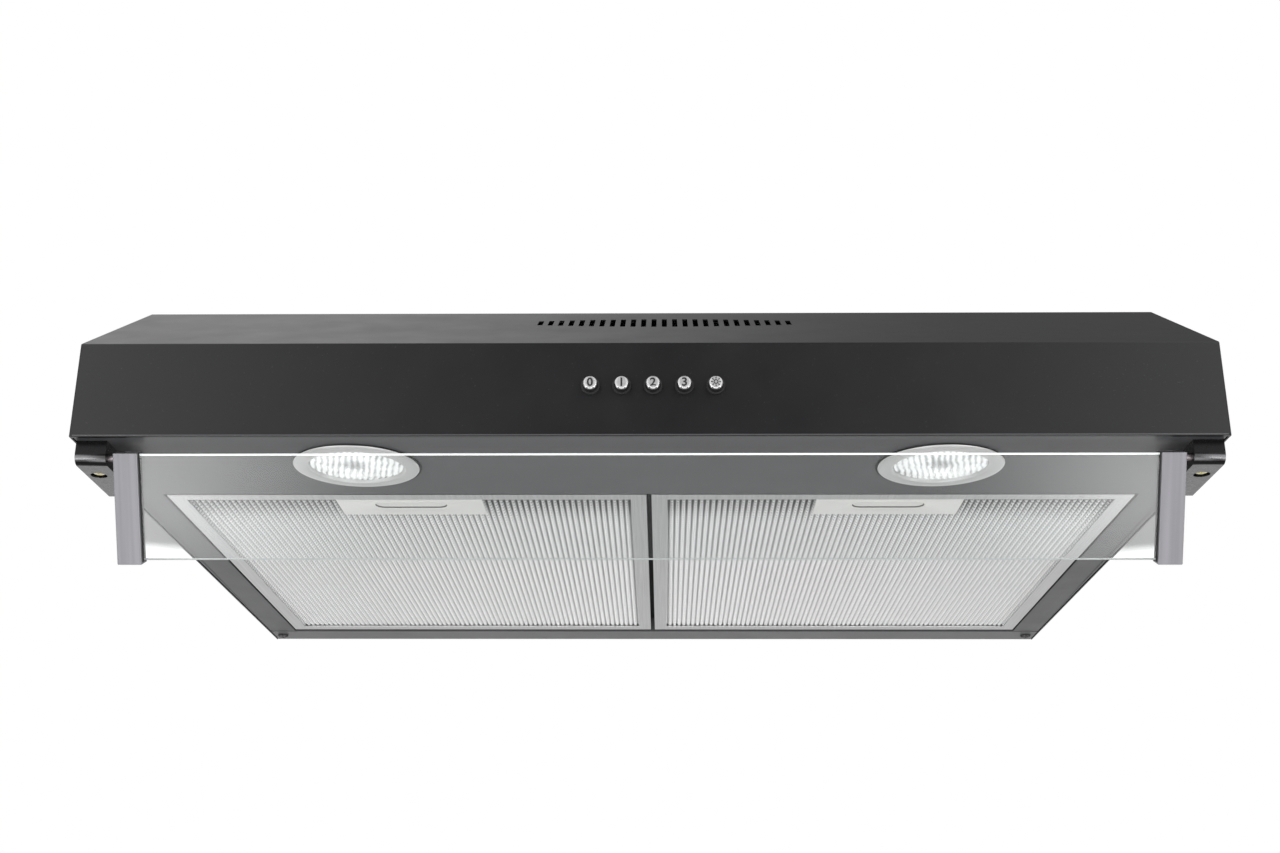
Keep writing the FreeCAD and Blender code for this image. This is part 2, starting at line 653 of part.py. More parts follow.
def buttons():
    """Five push buttons in a row, each in a guide sleeve, with the switch block behind."""
    sleeves = []
    bores = []
    for i, x in enumerate(button_places()):
        cap = inward(BUTTON_RADIUS, x, (-BUTTON_REACH, BUTTON_TAIL), BUTTON_HEIGHT)
        cap = rounded(cap, 0.9, lambda edge: edge.CenterOfMass.y < deep(-BUTTON_REACH + 0.01))
        stem = inward(STEM_RADIUS, x, (BUTTON_TAIL, SWITCH_FRONT + STEM_REACH), BUTTON_HEIGHT)
        save("button_%d" % i, joined([cap, stem]))
        sleeves.append(inward(COLLAR_RADIUS, x, SLEEVE_REACH, BUTTON_HEIGHT))
        bores.append(inward(BUTTON_RADIUS + RUNNING_GAP, x, (-2, 7), BUTTON_HEIGHT))
    strip = block(SWITCH_SPAN, GUIDE_STRIP, (BUTTON_HEIGHT - GUIDE_HALF_TALL, BUTTON_HEIGHT + GUIDE_HALF_TALL))
    save("button_guide", joined([strip] + sleeves).cut(bores))

    body = block(SWITCH_SPAN, (SWITCH_FRONT, SWITCH_BACK),
                 (BUTTON_HEIGHT - SWITCH_HALF_TALL, BUTTON_HEIGHT + SWITCH_HALF_TALL))
    wells = [
        inward(STEM_RADIUS + RUNNING_GAP, x, (SWITCH_FRONT - 1, SWITCH_FRONT + WELL_REACH), BUTTON_HEIGHT)
        for x in button_places()
    ]
    save("switch_block", body.cut(wells))
    room = SWITCH_FRONT - BUTTON_TAIL - 1.4
    springs = [
        coil(2.6, 0.45, room, 4, V(x, deep(BUTTON_TAIL + 0.7), high(BUTTON_HEIGHT)), V(0, 1, 0))
        for x in button_places()
    ]
    save("switch_springs", *springs)
    shelf_top = BUTTON_HEIGHT - SWITCH_HALF_TALL
    shelf_low = shelf_top - SHELF
    foot_front = FRAME_FRONT + SHEET
    shelf = block(SWITCH_SPAN, (foot_front, SWITCH_BACK + SHELF), (shelf_low, shelf_top))
    stop = block(SWITCH_SPAN, (SWITCH_BACK, SWITCH_BACK + SHELF), (shelf_low, BUTTON_HEIGHT + 4))
    foot = block(SWITCH_SPAN, (foot_front, foot_front + SHELF), (UNDER_HIGH, shelf_top))
    save("switch_bracket", joined([shelf, stop, foot]))


def hinge_brackets():
    """Folded brackets that hang under the front corners and carry the visor's pivots."""
    screws = []
    for name, side in (("left", -1), ("right", 1)):
        x = sorted((side * BRACKET_IN, side * BRACKET_OUT))
        outer = block(x, (BRACKET_FRONT, BRACKET_BACK), (-BRACKET_DROP, UNDER_LOW))
        wall = BRACKET_SHEET
        inner = block((x[0] + wall, x[1] - wall), (BRACKET_FRONT + wall, BRACKET_BACK - wall),
                      (-BRACKET_DROP + wall, UNDER_LOW + 1))

        def front_foot(edge, drop):
            place = edge.CenterOfMass
            return abs(place.z - high(drop)) < 0.01 and place.y < deep(BRACKET_FRONT + 2)

        outer = rounded(outer, KNUCKLE_RADIUS, lambda edge: front_foot(edge, -BRACKET_DROP))
        inner = rounded(inner, KNUCKLE_RADIUS - wall, lambda edge: front_foot(edge, wall - BRACKET_DROP))
        place = side * BRACKET_SCREW_X, BRACKET_SCREW_DEPTH
        post = upright(POST_RADIUS, *place, (POST_FOOT, UNDER_LOW))
        bracket = joined([outer.cut(inner), post])
        below = -BRACKET_DROP - 1
        pin_x = sorted((side * (BRACKET_IN - 1), side * (BRACKET_IN + PIVOT_REACH + 1)))
        cuts = [
            upright(HEAD_WELL_RADIUS, *place, (below, POST_FOOT)),
            upright(SCREW_HOLE_RADIUS, *place, (below, 1)),
            lengthwise(PIVOT_RADIUS + PIVOT_GAP, pin_x, PIVOT_DEPTH, PIVOT_HEIGHT),
        ]
        save("hinge_bracket_" + name, bracket.cut(cuts))
        head = upright(BRACKET_HEAD_RADIUS, *place, (BRACKET_HEAD_LOW, POST_FOOT))
        head = rounded(head, 0.9, lambda edge: edge.CenterOfMass.z < high(BRACKET_HEAD_LOW + 0.1))
        shank = upright(SCREW_RADIUS, *place, (POST_FOOT, 7))
        recess = cross_recess(*place, 2.0, (BRACKET_HEAD_LOW - 0.5, BRACKET_HEAD_LOW + 1))
        screws.append(joined([head, shank]).cut(recess))
    save("bracket_screws", *screws)


def leaning(shape):
    """Turns a part drawn hanging straight down from the pivot to the visor's resting lean."""
    shape.rotate(V(0, deep(PIVOT_DEPTH), high(PIVOT_HEIGHT)), V(1, 0, 0), VISOR_LEAN)
    return shape


def visor():
    """A glass pane between two metal arms. It is drawn hanging plumb, then leant back."""
    front = PIVOT_DEPTH - VISOR_AHEAD
    top = PIVOT_HEIGHT + VISOR_ABOVE
    foot = top - VISOR_HEIGHT
    glass_front = front + (ARM_THICK - GLASS_THICK) / 2
    glass_back = glass_front + GLASS_THICK
    glass_end = VISOR_HALF - ARM_WIDTH + GLASS_IN_ARM
    glass = block((-glass_end, glass_end), (glass_front, glass_back), (foot + GLASS_FOOT, top - GLASS_HEAD))
    save("visor_glass", leaning(glass))
    gaskets = []
    pins = []
    for name, side in (("left", -1), ("right", 1)):
        arm_x = sorted((side * VISOR_HALF, side * (VISOR_HALF - ARM_WIDTH)))
        slot_x = sorted((side * (VISOR_HALF - ARM_WIDTH - 1), side * (glass_end + GASKET)))
        arm = block(arm_x, (front, front + ARM_THICK), (foot, top))
        arm = rounded(arm, 0.6, lambda edge: abs(edge.CenterOfMass.x - side * VISOR_HALF) < 0.01)
        slot = block(slot_x, (glass_front - GASKET, glass_back + GASKET), (foot + SLOT_FOOT, top + 1))
        pin_x = sorted((side * (glass_end + GASKET), side * (BRACKET_IN + PIVOT_REACH)))
        pin = lengthwise(PIVOT_RADIUS, pin_x, PIVOT_DEPTH, PIVOT_HEIGHT)
        save("visor_arm_" + name, leaning(arm.cut([slot, pin])))
        pins.append(pin)
        outer_x = sorted((side * (VISOR_HALF - ARM_WIDTH - 0.6), side * (glass_end + GASKET)))
        sleeve = block(outer_x, (glass_front - GASKET, glass_back + GASKET),
                       (foot + SLOT_FOOT, top - GASKET_HEAD))
        glass_room = block((-glass_end, glass_end), (glass_front, glass_back), (foot + GLASS_FOOT, top + 1))
        gaskets.append(leaning(sleeve.cut(glass_room)))
    save("visor_gaskets", *gaskets)
    save("visor_pins", *pins)


def blower_outline():
    """Scroll and outlet box seen from above, as lines and three arcs of growing radius."""
    half = SCROLL_STEP / 2

    def point(x, y):
        return V(x, deep(y), high(FAN_LOW))

    def arc(x, y, radius, start, end):
        turn = math.radians((start + end) / 2)
        ends = [point(x + radius * math.cos(math.radians(a)), y + radius * math.sin(math.radians(a)))
                for a in (start, end)]
        middle = point(x + radius * math.cos(turn), y + radius * math.sin(turn))
        return Part.Arc(ends[0], middle, ends[1]).toShape()

    rear = FAN_DEPTH + half + SCROLL_RADIUS + 2 * SCROLL_STEP
    throat = OUTLET_FRONT + 48
    right = FAN_X - half + SCROLL_RADIUS
    edges = [
        arc(FAN_X - half, FAN_DEPTH - half, SCROLL_RADIUS, 0, -90),
        arc(FAN_X - half, FAN_DEPTH + half, SCROLL_RADIUS + SCROLL_STEP, -90, -180),
        arc(FAN_X + half, FAN_DEPTH + half, SCROLL_RADIUS + 2 * SCROLL_STEP, 180, 90),
    ]
    corners = [
        (FAN_X + half, rear), (OUTLET_HALF, rear), (OUTLET_HALF, OUTLET_FRONT), (-OUTLET_HALF, OUTLET_FRONT),
        (-OUTLET_HALF, throat), (right, throat), (right, FAN_DEPTH - half),
    ]
    for start, end in zip(corners, corners[1:]):
        edges.append(Part.makeLine(point(*start), point(*end)))
    return Part.Face(Part.Wire(Part.__sortEdges__(edges)))


def boss_places():
    """X and depth of the bosses: three on the scroll's arcs, one in the throat's crook, one on the outlet box."""
    half = SCROLL_STEP / 2
    small, middle, large = [
        (SCROLL_RADIUS + BOSS_STAND + step * SCROLL_STEP) * math.sqrt(0.5) for step in range(3)
    ]
    return [
        (FAN_X - half + small, FAN_DEPTH - half - small),
        (FAN_X - half - middle, FAN_DEPTH + half - middle),
        (FAN_X + half - large, FAN_DEPTH + half + large),
        (-OUTLET_HALF - 3.5, OUTLET_FRONT + 10),
        (OUTLET_HALF + BOSS_STAND, OUTLET_FRONT + 125),
    ]


def housing():
    outline = blower_outline()
    inside = outline.makeOffset2D(-FAN_WALL)
    lower = outline.extrude(V(0, 0, FAN_SPLIT - FAN_LOW))
    upper = outline.extrude(V(0, 0, FAN_HIGH - FAN_SPLIT))
    upper.translate(V(0, 0, FAN_SPLIT - FAN_LOW))
    cavity = inside.extrude(V(0, 0, FAN_HIGH - FAN_LOW - 2 * FAN_WALL))
    cavity.translate(V(0, 0, FAN_WALL))
    inlet = upright(INLET_RADIUS, FAN_X, FAN_DEPTH, (FAN_LOW - 1, FAN_LOW + FAN_WALL + 1))
    front_way = block((WAY_MARGIN - OUTLET_HALF, OUTLET_HALF - WAY_MARGIN),
                      (OUTLET_FRONT - 1, OUTLET_FRONT + FAN_WALL + 1),
                      (FAN_LOW + WAY_MARGIN, FAN_HIGH - WAY_MARGIN))
    shaft_way = lengthwise(DIVERTER_SHAFT_RADIUS + PIN_GAP, (-OUTLET_HALF - 1, OUTLET_HALF + 1),
                           DIVERTER_DEPTH, DIVERTER_LEVEL)
    roof_cut = (FAN_HIGH - FAN_WALL - 1, FAN_HIGH + 1)
    outlet = upright(THROAT_RADIUS, 0, COLLAR_DEPTH, roof_cut)
    motor_lead = upright(LEAD_WAY_RADIUS, FAN_X + LEAD_WAY_X, FAN_DEPTH, roof_cut)
    low_bosses = []
    high_bosses = []
    bores = []
    screws = []
    for x, y in boss_places():
        low_bosses.append(upright(BOSS_RADIUS, x, y, (FAN_LOW, FAN_SPLIT)))
        high_bosses.append(upright(BOSS_RADIUS, x, y, (FAN_SPLIT, FAN_HIGH)))
        bores.append(upright(BOSS_BORE, x, y, (FAN_LOW - 1, FAN_HIGH + 1)))
        head = upright(HOUSING_HEAD_RADIUS, x, y, (FAN_LOW - HOUSING_HEAD_TALL, FAN_LOW))
        screws.append(joined([head, upright(SCREW_RADIUS, x, y, (FAN_LOW, FAN_HIGH + 0.8))]))
    lower = joined([lower] + low_bosses).cut([cavity, inlet, front_way] + bores)
    guard_top = FAN_LOW + GUARD_WIDTH
    rings = []
    for radius in GUARD_RADII:
        wider = radius + GUARD_WIDTH
        rings.append(turned([(radius, FAN_LOW), (wider, FAN_LOW), (wider, guard_top), (radius, guard_top)],
                            FAN_X, FAN_DEPTH))
    spokes = []
    half = GUARD_WIDTH / 2
    reach = INLET_RADIUS + 0.5
    for i in range(GUARD_SPOKES):
        spoke = block((FAN_X - reach, FAN_X + reach), (FAN_DEPTH - half, FAN_DEPTH + half), (FAN_LOW, guard_top))
        spoke.rotate(V(FAN_X, deep(FAN_DEPTH), 0), V(0, 0, 1), 180 / GUARD_SPOKES * i)
        spokes.append(spoke)
    save("fan_housing_lower", joined([lower] + rings + spokes))
    upper = joined([upper] + high_bosses).cut([cavity, front_way, shaft_way, outlet, motor_lead] + bores)
    save("fan_housing_upper", upper)
    save("housing_screws", *screws)


def impeller():
    """A drum of forward-curved blades on a cup that passes round the motor."""
    foot, rim_top = SHAFT_LEVEL[0], BLADE_HIGH + RIM_THICK
    cup = turned([(SHAFT_RADIUS, foot), (10, foot), (10, foot + 7), (46, foot + 7), (46, 94.8),
                  (61.5, BLADE_HIGH), (IMPELLER_RADIUS, BLADE_HIGH), (IMPELLER_RADIUS, rim_top), (61, rim_top),
                  (44.4, 96), (44.4, foot + 8.6), (SHAFT_RADIUS, foot + 8.6)], FAN_X, FAN_DEPTH)
    ring = turned([(BLADE_INNER_RADIUS, BLADE_LOW - RIM_THICK), (IMPELLER_RADIUS, BLADE_LOW - RIM_THICK),
                   (IMPELLER_RADIUS, BLADE_LOW), (BLADE_INNER_RADIUS, BLADE_LOW)], FAN_X, FAN_DEPTH)
    inner, outer = BLADE_ARC
    centre_x, centre_y = FAN_X + BLADE_CENTRE[0], FAN_DEPTH + BLADE_CENTRE[1]
    blade = turned([(inner, BLADE_LOW), (outer, BLADE_LOW), (outer, BLADE_HIGH), (inner, BLADE_HIGH)],
                   centre_x, centre_y)
    annulus = turned([(BLADE_INNER_RADIUS + 0.4, BLADE_LOW), (IMPELLER_RADIUS - 0.2, BLADE_LOW),
                      (IMPELLER_RADIUS - 0.2, BLADE_HIGH), (BLADE_INNER_RADIUS + 0.4, BLADE_HIGH)],
                     FAN_X, FAN_DEPTH)
    lower_half = block((centre_x - 20, centre_x + 20), (centre_y - 20, centre_y), (BLADE_LOW - 1, BLADE_HIGH + 1))
    blade = blade.common(annulus).common(lower_half)
    blades = []
    for i in range(BLADE_COUNT):
        turned_blade = blade.copy()
        turned_blade.rotate(V(FAN_X, deep(FAN_DEPTH), 0), V(0, 0, 1), 360 / BLADE_COUNT * i)
        blades.append(turned_blade)
    save("impeller", joined([cup, ring] + blades))


def motor():
    low, top = BEARING_LEVELS[0], BEARING_LEVELS[1] + BEARING_TALL
    bore = ROTOR_RADIUS + 0.6
    stator = turned([(BEARING_RADIUS, low), (30, low), (36, 70), (36, 78), (40, 78), (40, 94), (36, 94),
                     (36, top), (BEARING_RADIUS, top), (BEARING_RADIUS, BEARING_LEVELS[1]), (bore, BEARING_LEVELS[1]),
                     (bore, low + BEARING_TALL), (BEARING_RADIUS, low + BEARING_TALL)], FAN_X, FAN_DEPTH)
    save("motor_stator", stator)
    bore = SHAFT_RADIUS + BEARING_GAP
    bearings = [
        turned([(bore, level), (BEARING_RADIUS, level), (BEARING_RADIUS, level + BEARING_TALL),
                (bore, level + BEARING_TALL)], FAN_X, FAN_DEPTH)
        for level in BEARING_LEVELS
    ]
    save("motor_bearings", *bearings)
    rotor = joined([upright(ROTOR_RADIUS, FAN_X, FAN_DEPTH, ROTOR_LEVEL),
                    upright(SHAFT_RADIUS, FAN_X, FAN_DEPTH, SHAFT_LEVEL)])
    save("motor_rotor", rotor)
    plate_low, plate_top = MOTOR_PLATE_LEVEL
    plate = upright(MOTOR_PLATE_RADIUS, FAN_X, FAN_DEPTH, MOTOR_PLATE_LEVEL)
    plate = plate.cut(upright(MOTOR_PLATE_BORE, FAN_X, FAN_DEPTH, (plate_low - 1, plate_top + 1)))
    mounts = []
    for i in range(3):
        turn = math.radians(90 + 120 * i)
        mounts.append(upright(MOUNT_RADIUS, FAN_X + MOUNT_CIRCLE * math.cos(turn),
                              FAN_DEPTH + MOUNT_CIRCLE * math.sin(turn), (plate_top, FAN_HIGH - FAN_WALL)))
    save("motor_plate", plate)
    save("motor_mounts", *mounts)


def outlet():
    """Duct collar with two flaps. Its neck is a little slimmer than the part that a duct slides over."""
    foot, seat, rim = HEIGHT - COLLAR_FOOT, HEIGHT + COLLAR_FLANGE_THICK, HEIGHT + COLLAR_TALL
    axis = HEIGHT + FLAP_LEVEL
    tube = turned([(COLLAR_INNER, foot), (COLLAR_NECK, foot), (COLLAR_NECK, seat), (COLLAR_OUTER, seat),
                   (COLLAR_OUTER, rim), (COLLAR_INNER, rim)], 0, COLLAR_DEPTH)
    flange = turned([(COLLAR_NECK, HEIGHT), (COLLAR_FLANGE, HEIGHT), (COLLAR_FLANGE, seat),
                     (COLLAR_NECK, seat)], 0, COLLAR_DEPTH)
    low, top = (axis - drop for drop in LEDGE_DROP)
    ledge = turned([(COLLAR_INNER - LEDGE_WIDTH, low), (COLLAR_INNER, low), (COLLAR_INNER, top),
                    (COLLAR_INNER - LEDGE_WIDTH, top)], 0, COLLAR_DEPTH)
    whole = (COLLAR_DEPTH - PAST_COLLAR, COLLAR_DEPTH + PAST_COLLAR)
    ledge = ledge.cut(block((-LEDGE_BREAK, LEDGE_BREAK), whole, (HEIGHT, axis)))
    bores = [inward(FLAP_PIN_RADIUS + PIN_GAP, side * FLAP_AXIS_X, whole, axis) for side in (-1, 1)]
    save("duct_collar", joined([tube, ledge]).cut(bores), flange)
    for name, side in (("left", -1), ("right", 1)):
        disc = upright(COLLAR_INNER - FLAP_EDGE_GAP, 0, COLLAR_DEPTH,
                       (axis - FLAP_THICK / 2, axis + FLAP_THICK / 2))
        span = sorted((side * FLAP_EDGE_GAP, side * PAST_COLLAR))
        half_disc = disc.common(block(span, whole, (HEIGHT, rim)))
        pin = inward(FLAP_PIN_RADIUS, side * FLAP_AXIS_X,
                     (COLLAR_DEPTH - FLAP_PIN_REACH, COLLAR_DEPTH + FLAP_PIN_REACH), axis)
        save("damper_flap_" + name, joined([half_disc, pin]))


def diverter():
    """The flap that shuts the front way, its lever, and the duct from there to the slots."""
    shaft = lengthwise(DIVERTER_SHAFT_RADIUS, (0.4 - OUTLET_HALF, OUTLET_HALF + 9),
                       DIVERTER_DEPTH, DIVERTER_LEVEL)
    leaf = block((LEAF_END_GAP - OUTLET_HALF, OUTLET_HALF - LEAF_END_GAP),
                 (DIVERTER_DEPTH - LEAF_BACK[0], DIVERTER_DEPTH - LEAF_BACK[1]), (FAN_LOW + 4, DIVERTER_LEVEL))
    save("diverter_flap", joined([leaf, shaft]))
    arm_x = (OUTLET_HALF + 3, OUTLET_HALF + 8)
    arm = block(arm_x, (DIVERTER_DEPTH - 5, DIVERTER_DEPTH + 5), (30, DIVERTER_LEVEL))
    knob = lengthwise(DIVERTER_KNOB_RADIUS, (OUTLET_HALF + 2, OUTLET_HALF + 12),
                      DIVERTER_DEPTH, DIVERTER_KNOB_LEVEL)
    hub = lengthwise(DIVERTER_HUB_RADIUS, arm_x, DIVERTER_DEPTH, DIVERTER_LEVEL)
    bore = lengthwise(DIVERTER_SHAFT_RADIUS, (0, OUTLET_HALF + 20), DIVERTER_DEPTH, DIVERTER_LEVEL)
    save("diverter_lever", joined([arm, knob, hub]).cut(bore))

    low = FAN_LOW + DUCT_LIFT
    left, right = SLOT_ROW_X - DUCT_HALF, SLOT_ROW_X + DUCT_HALF
    outer = block((left, right), (DUCT_FRONT, OUTLET_FRONT - 0.4), (low, FAN_HIGH))
    inner = block((left + DUCT_WALL, right - DUCT_WALL), (DUCT_FRONT - 10, OUTLET_FRONT),
                  (low + DUCT_WALL, FAN_HIGH - DUCT_WALL))
    save("recirculation_duct", outer.cut(inner).common(body_volume(SHEET + 0.6, 0.5)))


def electrics():
    """Terminal box with its motor capacitor, and the gland for the mains lead."""
    x0, x1 = BOX_X
    y0, y1 = BOX_DEPTH
    floor = BOX_LOW + BOX_WALL
    box = block((x0, x1), (y0, y1), (BOX_LOW, HEIGHT - SHEET - 0.3))
    room = block((x0 + BOX_WALL, x1 - BOX_WALL), (y0 + BOX_WALL, y1 - BOX_WALL), (floor, HEIGHT))
    strip = block((x0 + 22, x1 - 22), (y0 + 10, y0 + 26), (floor, floor + 12))
    wells = [
        upright(2.2, x0 + LEAD_ENTRY_X + TERMINAL_PITCH * i, y0 + 18, (floor + 4, floor + 13))
        for i in range(TERMINALS)
    ]
    lead_way = inward(3, x0 + LEAD_ENTRY_X, (y0 - 1, y0 + 4), BOX_LOW + LEAD_ENTRY_LEVEL)
    save("electrics_box", joined([box.cut([room, lead_way]), strip]).cut(wells))
    resting = floor + CAPACITOR_RADIUS + CAPACITOR_GAP
    save("capacitor", lengthwise(CAPACITOR_RADIUS, (x0 + 8, x0 + 58), y1 - 18, resting))
    gland = turned([(GLAND_BORE, HEIGHT - 8), (7.6, HEIGHT - 8), (7.6, HEIGHT - 5.8), (10.5, HEIGHT - 5.8),
                    (10.5, HEIGHT - SHEET), (8.1, HEIGHT - SHEET), (8.1, HEIGHT), (11, HEIGHT), (11, HEIGHT + 4),
                    (8.5, HEIGHT + 5), (6.5, HEIGHT + 11), (GLAND_BORE, HEIGHT + 11)], GLAND_X, GLAND_DEPTH)
    save("cable_gland", gland)


def lead(points, radius):
    """A held wire: straight runs joined by tangent arcs, as large as the two runs allow."""
    corners = [V(x, deep(y), high(z)) for x, y, z in points]
    edges = []
    here = corners[0]
    for before, corner, after in zip(corners, corners[1:], corners[2:]):
        back = (before - corner).normalize()
        ahead = (after - corner).normalize()
        half = (math.pi - back.getAngle(ahead)) / 2
        reach = 0.45 * min((before - corner).Length, (after - corner).Length)
        sweep = reach / math.tan(half)
        start, end = corner + back * reach, corner + ahead * reach
        inward_line = (back + ahead).normalize()
        middle = corner + inward_line * (sweep / math.cos(half) - sweep)
        edges.append(Part.makeLine(here, start))
        edges.append(Part.Arc(start, middle, end).toShape())
        here = end
    edges.append(Part.makeLine(here, corners[-1]))
    path = Part.Wire(edges)
    section = Part.Wire(Part.makeCircle(radius, corners[0], corners[1] - corners[0]))
    return path.makePipeShell([section], True, True)


def loom():
    """Leads from the terminal block to the switch, and from the switch to both lamps."""
    x0, y0 = BOX_X[0] + LEAD_ENTRY_X, BOX_DEPTH[0]
    left, right = SWITCH_SPAN
    socket = BOX_LOW + LEAD_ENTRY_LEVEL
    supply = [(x0, y0 + 9.9, socket), (x0, y0 - 50, socket), (x0, 250, 70), (x0 - 6, 120, 52),
              (150, 60, 26), (100, 34, 24), (right, 34, 24)]
    to_left = [(left, 34, 28), (left - 24, 34, 28), (left - 56, 38, 46), (-LAMP_X + 12, LAMP_DEPTH, 66),
               (-LAMP_X, LAMP_DEPTH, 58), (-LAMP_X, LAMP_DEPTH, 40)]
    to_right = [(right, 34, 33), (right + 30, 34, 33), (right + 64, 38, 46), (LAMP_X - 12, LAMP_DEPTH, 66),
                (LAMP_X, LAMP_DEPTH, 58), (LAMP_X, LAMP_DEPTH, 40)]
    lamp_leads = [lead(points, LAMP_LEAD_RADIUS) for points in (to_left, to_right)]
    save("wiring_loom", lead(supply, SUPPLY_RADIUS), *lamp_leads)


os.makedirs("parts", exist_ok=True)
canopy()
underside()
filters()
lamps()
buttons()
hinge_brackets()
visor()
housing()
impeller()
motor()
outlet()
diverter()
electrics()
loom()
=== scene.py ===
import math

import bmesh
import bpy
from mathutils import Matrix, Vector


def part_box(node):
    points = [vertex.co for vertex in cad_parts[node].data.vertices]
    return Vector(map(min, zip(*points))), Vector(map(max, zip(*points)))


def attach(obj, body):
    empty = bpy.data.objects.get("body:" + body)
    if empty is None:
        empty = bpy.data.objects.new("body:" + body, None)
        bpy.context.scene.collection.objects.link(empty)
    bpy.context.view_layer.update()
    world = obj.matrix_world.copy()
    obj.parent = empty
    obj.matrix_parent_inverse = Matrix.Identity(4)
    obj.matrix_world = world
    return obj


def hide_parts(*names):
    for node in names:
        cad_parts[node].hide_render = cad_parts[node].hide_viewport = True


# Looks for the slim visor hood. Metres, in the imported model's frame: +X right, +Y to the wall, +Z up.

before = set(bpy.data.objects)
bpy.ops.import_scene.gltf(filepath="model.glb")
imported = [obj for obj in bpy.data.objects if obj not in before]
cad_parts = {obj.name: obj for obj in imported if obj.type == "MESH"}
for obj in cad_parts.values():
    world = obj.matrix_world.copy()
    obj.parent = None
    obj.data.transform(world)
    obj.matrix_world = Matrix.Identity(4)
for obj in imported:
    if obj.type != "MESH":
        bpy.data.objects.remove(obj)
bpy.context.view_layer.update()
scene = bpy.context.scene
MM = 0.001

BODY_LOW, BODY_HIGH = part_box("canopy_shell")
FRONT = BODY_LOW.y
UNDERSIDE = BODY_LOW.z


# ---------------------------------------------------------------- camera and studio

CAMERA_FOCAL = 45.05
SENSOR_WIDTH = 36.0
CAMERA_PLACE = Vector((0.0085, FRONT - 0.7748, UNDERSIDE - 0.2796))
CAMERA_PITCH = math.radians(20.18)
CAMERA_YAW = math.radians(-0.90)
CAMERA_ROLL = math.radians(0.23)

# The room's brightness. Each pair runs from the first value to the second across its ramp.
BELOW = 0.395
HORIZON = 1.0
LEVEL_BACK = 0.30
BACK_ABOVE = (0.90, 0.14)
OVERHEAD = 0.5
FRONT_SWEEP = (0.0, 2.0)
LOW_SWEEP = (0.15, 6.2)

LOW_POWER = 2.0
LOW_PLACE = (1.72, 2.45, -1.1)
LOW_SIZE = (1.4, 1.0)
BOUNCE_POWER = 12
BOUNCE_PLACE = (0, -0.9, -1.5)
BOUNCE_AIM = (0, 0.1, UNDERSIDE)
BOUNCE_SIZE = (1.8, 1.2)
FLOOR_DROP = 1.70
FLOOR_HALF = 3.0


def make_camera():
    data = bpy.data.cameras.new("camera")
    data.lens = CAMERA_FOCAL
    data.sensor_width = SENSOR_WIDTH
    camera = bpy.data.objects.new("camera", data)
    scene.collection.objects.link(camera)
    ahead = Vector((math.sin(CAMERA_YAW) * math.cos(CAMERA_PITCH),
                    math.cos(CAMERA_YAW) * math.cos(CAMERA_PITCH),
                    math.sin(CAMERA_PITCH)))
    level = Vector((math.cos(CAMERA_YAW), -math.sin(CAMERA_YAW), 0))
    upright = level.cross(ahead)
    right = math.cos(CAMERA_ROLL) * level + math.sin(CAMERA_ROLL) * upright
    up = math.cos(CAMERA_ROLL) * upright - math.sin(CAMERA_ROLL) * level
    turn = Matrix((right, up, -ahead)).transposed().to_4x4()
    camera.matrix_world = Matrix.Translation(CAMERA_PLACE) @ turn
    scene.camera = camera


def area_light(name, place, target, size, power):
    data = bpy.data.lights.new(name, "AREA")
    data.shape = "RECTANGLE"
    data.size, data.size_y = size
    data.energy = power
    light = bpy.data.objects.new(name, data)
    scene.collection.objects.link(light)
    light.location = place
    light.rotation_euler = (Vector(target) - Vector(place)).to_track_quat("-Z", "Y").to_euler()


def make_world():
    """A pale room: bright at the horizon, dimmer overhead, and dark in front between two soft boxes."""
    world = bpy.data.worlds.new("studio")
    scene.world = world
    world.use_nodes = True
    tree = world.node_tree
    new = tree.nodes.new
    link = tree.links.new

    def math_node(operation, a, b=None):
        node = new("ShaderNodeMath")
        node.operation = operation
        for i, value in enumerate((a, b)):
            if value is None:
                continue
            if hasattr(value, "links"):
                link(value, node.inputs[i])
            else:
                node.inputs[i].default_value = value
        return node.outputs["Value"]

    def ramp(value, low, high, to_low, to_high):
        node = new("ShaderNodeMapRange")
        node.interpolation_type = "SMOOTHSTEP"
        link(value, node.inputs["Value"])
        for key, number in (("From Min", low), ("From Max", high), ("To Min", to_low), ("To Max", to_high)):
            if hasattr(number, "links"):
                link(number, node.inputs[key])
            else:
                node.inputs[key].default_value = number
        return node.outputs["Result"]

    parts = new("ShaderNodeSeparateXYZ")
    link(new("ShaderNodeTexCoord").outputs["Generated"], parts.inputs["Vector"])
    x, y, z = parts.outputs
    # The first two numbers of each ramp are parts of the direction looked in, from -1 to 1.
    above = ramp(x, -0.27, 0.20, *BACK_ABOVE)
    high_back = ramp(z, 0.42, 0.60, LEVEL_BACK, above)
    back = ramp(z, 0.259, 0.265, HORIZON, high_back)
    back = ramp(z, -0.31, -0.12, BELOW, back)
    overhead = ramp(z, 0.72, 0.90, back, OVERHEAD)
    front_side = ramp(math_node("ABSOLUTE", x), 0.08, 0.47, *FRONT_SWEEP)
    low_side = ramp(math_node("ABSOLUTE", x), 0.15, 0.335, *LOW_SWEEP)
    low_front = ramp(z, -0.67, -0.575, 0.0, low_side)
    front = ramp(z, -0.50, -0.40, low_front, front_side)
    strength = ramp(y, -0.25, 0.10, front, overhead)

    light = tree.nodes["Background"]
    light.inputs["Color"].default_value = (1, 1, 1, 1)
    link(strength, light.inputs["Strength"])
    seen = new("ShaderNodeBackground")
    seen.inputs["Color"].default_value = (1, 1, 1, 1)
    mix = new("ShaderNodeMixShader")
    link(new("ShaderNodeLightPath").outputs["Is Camera Ray"], mix.inputs["Fac"])
    link(light.outputs["Background"], mix.inputs[1])
    link(seen.outputs["Background"], mix.inputs[2])
    link(mix.outputs["Shader"], tree.nodes["World Output"].inputs["Surface"])


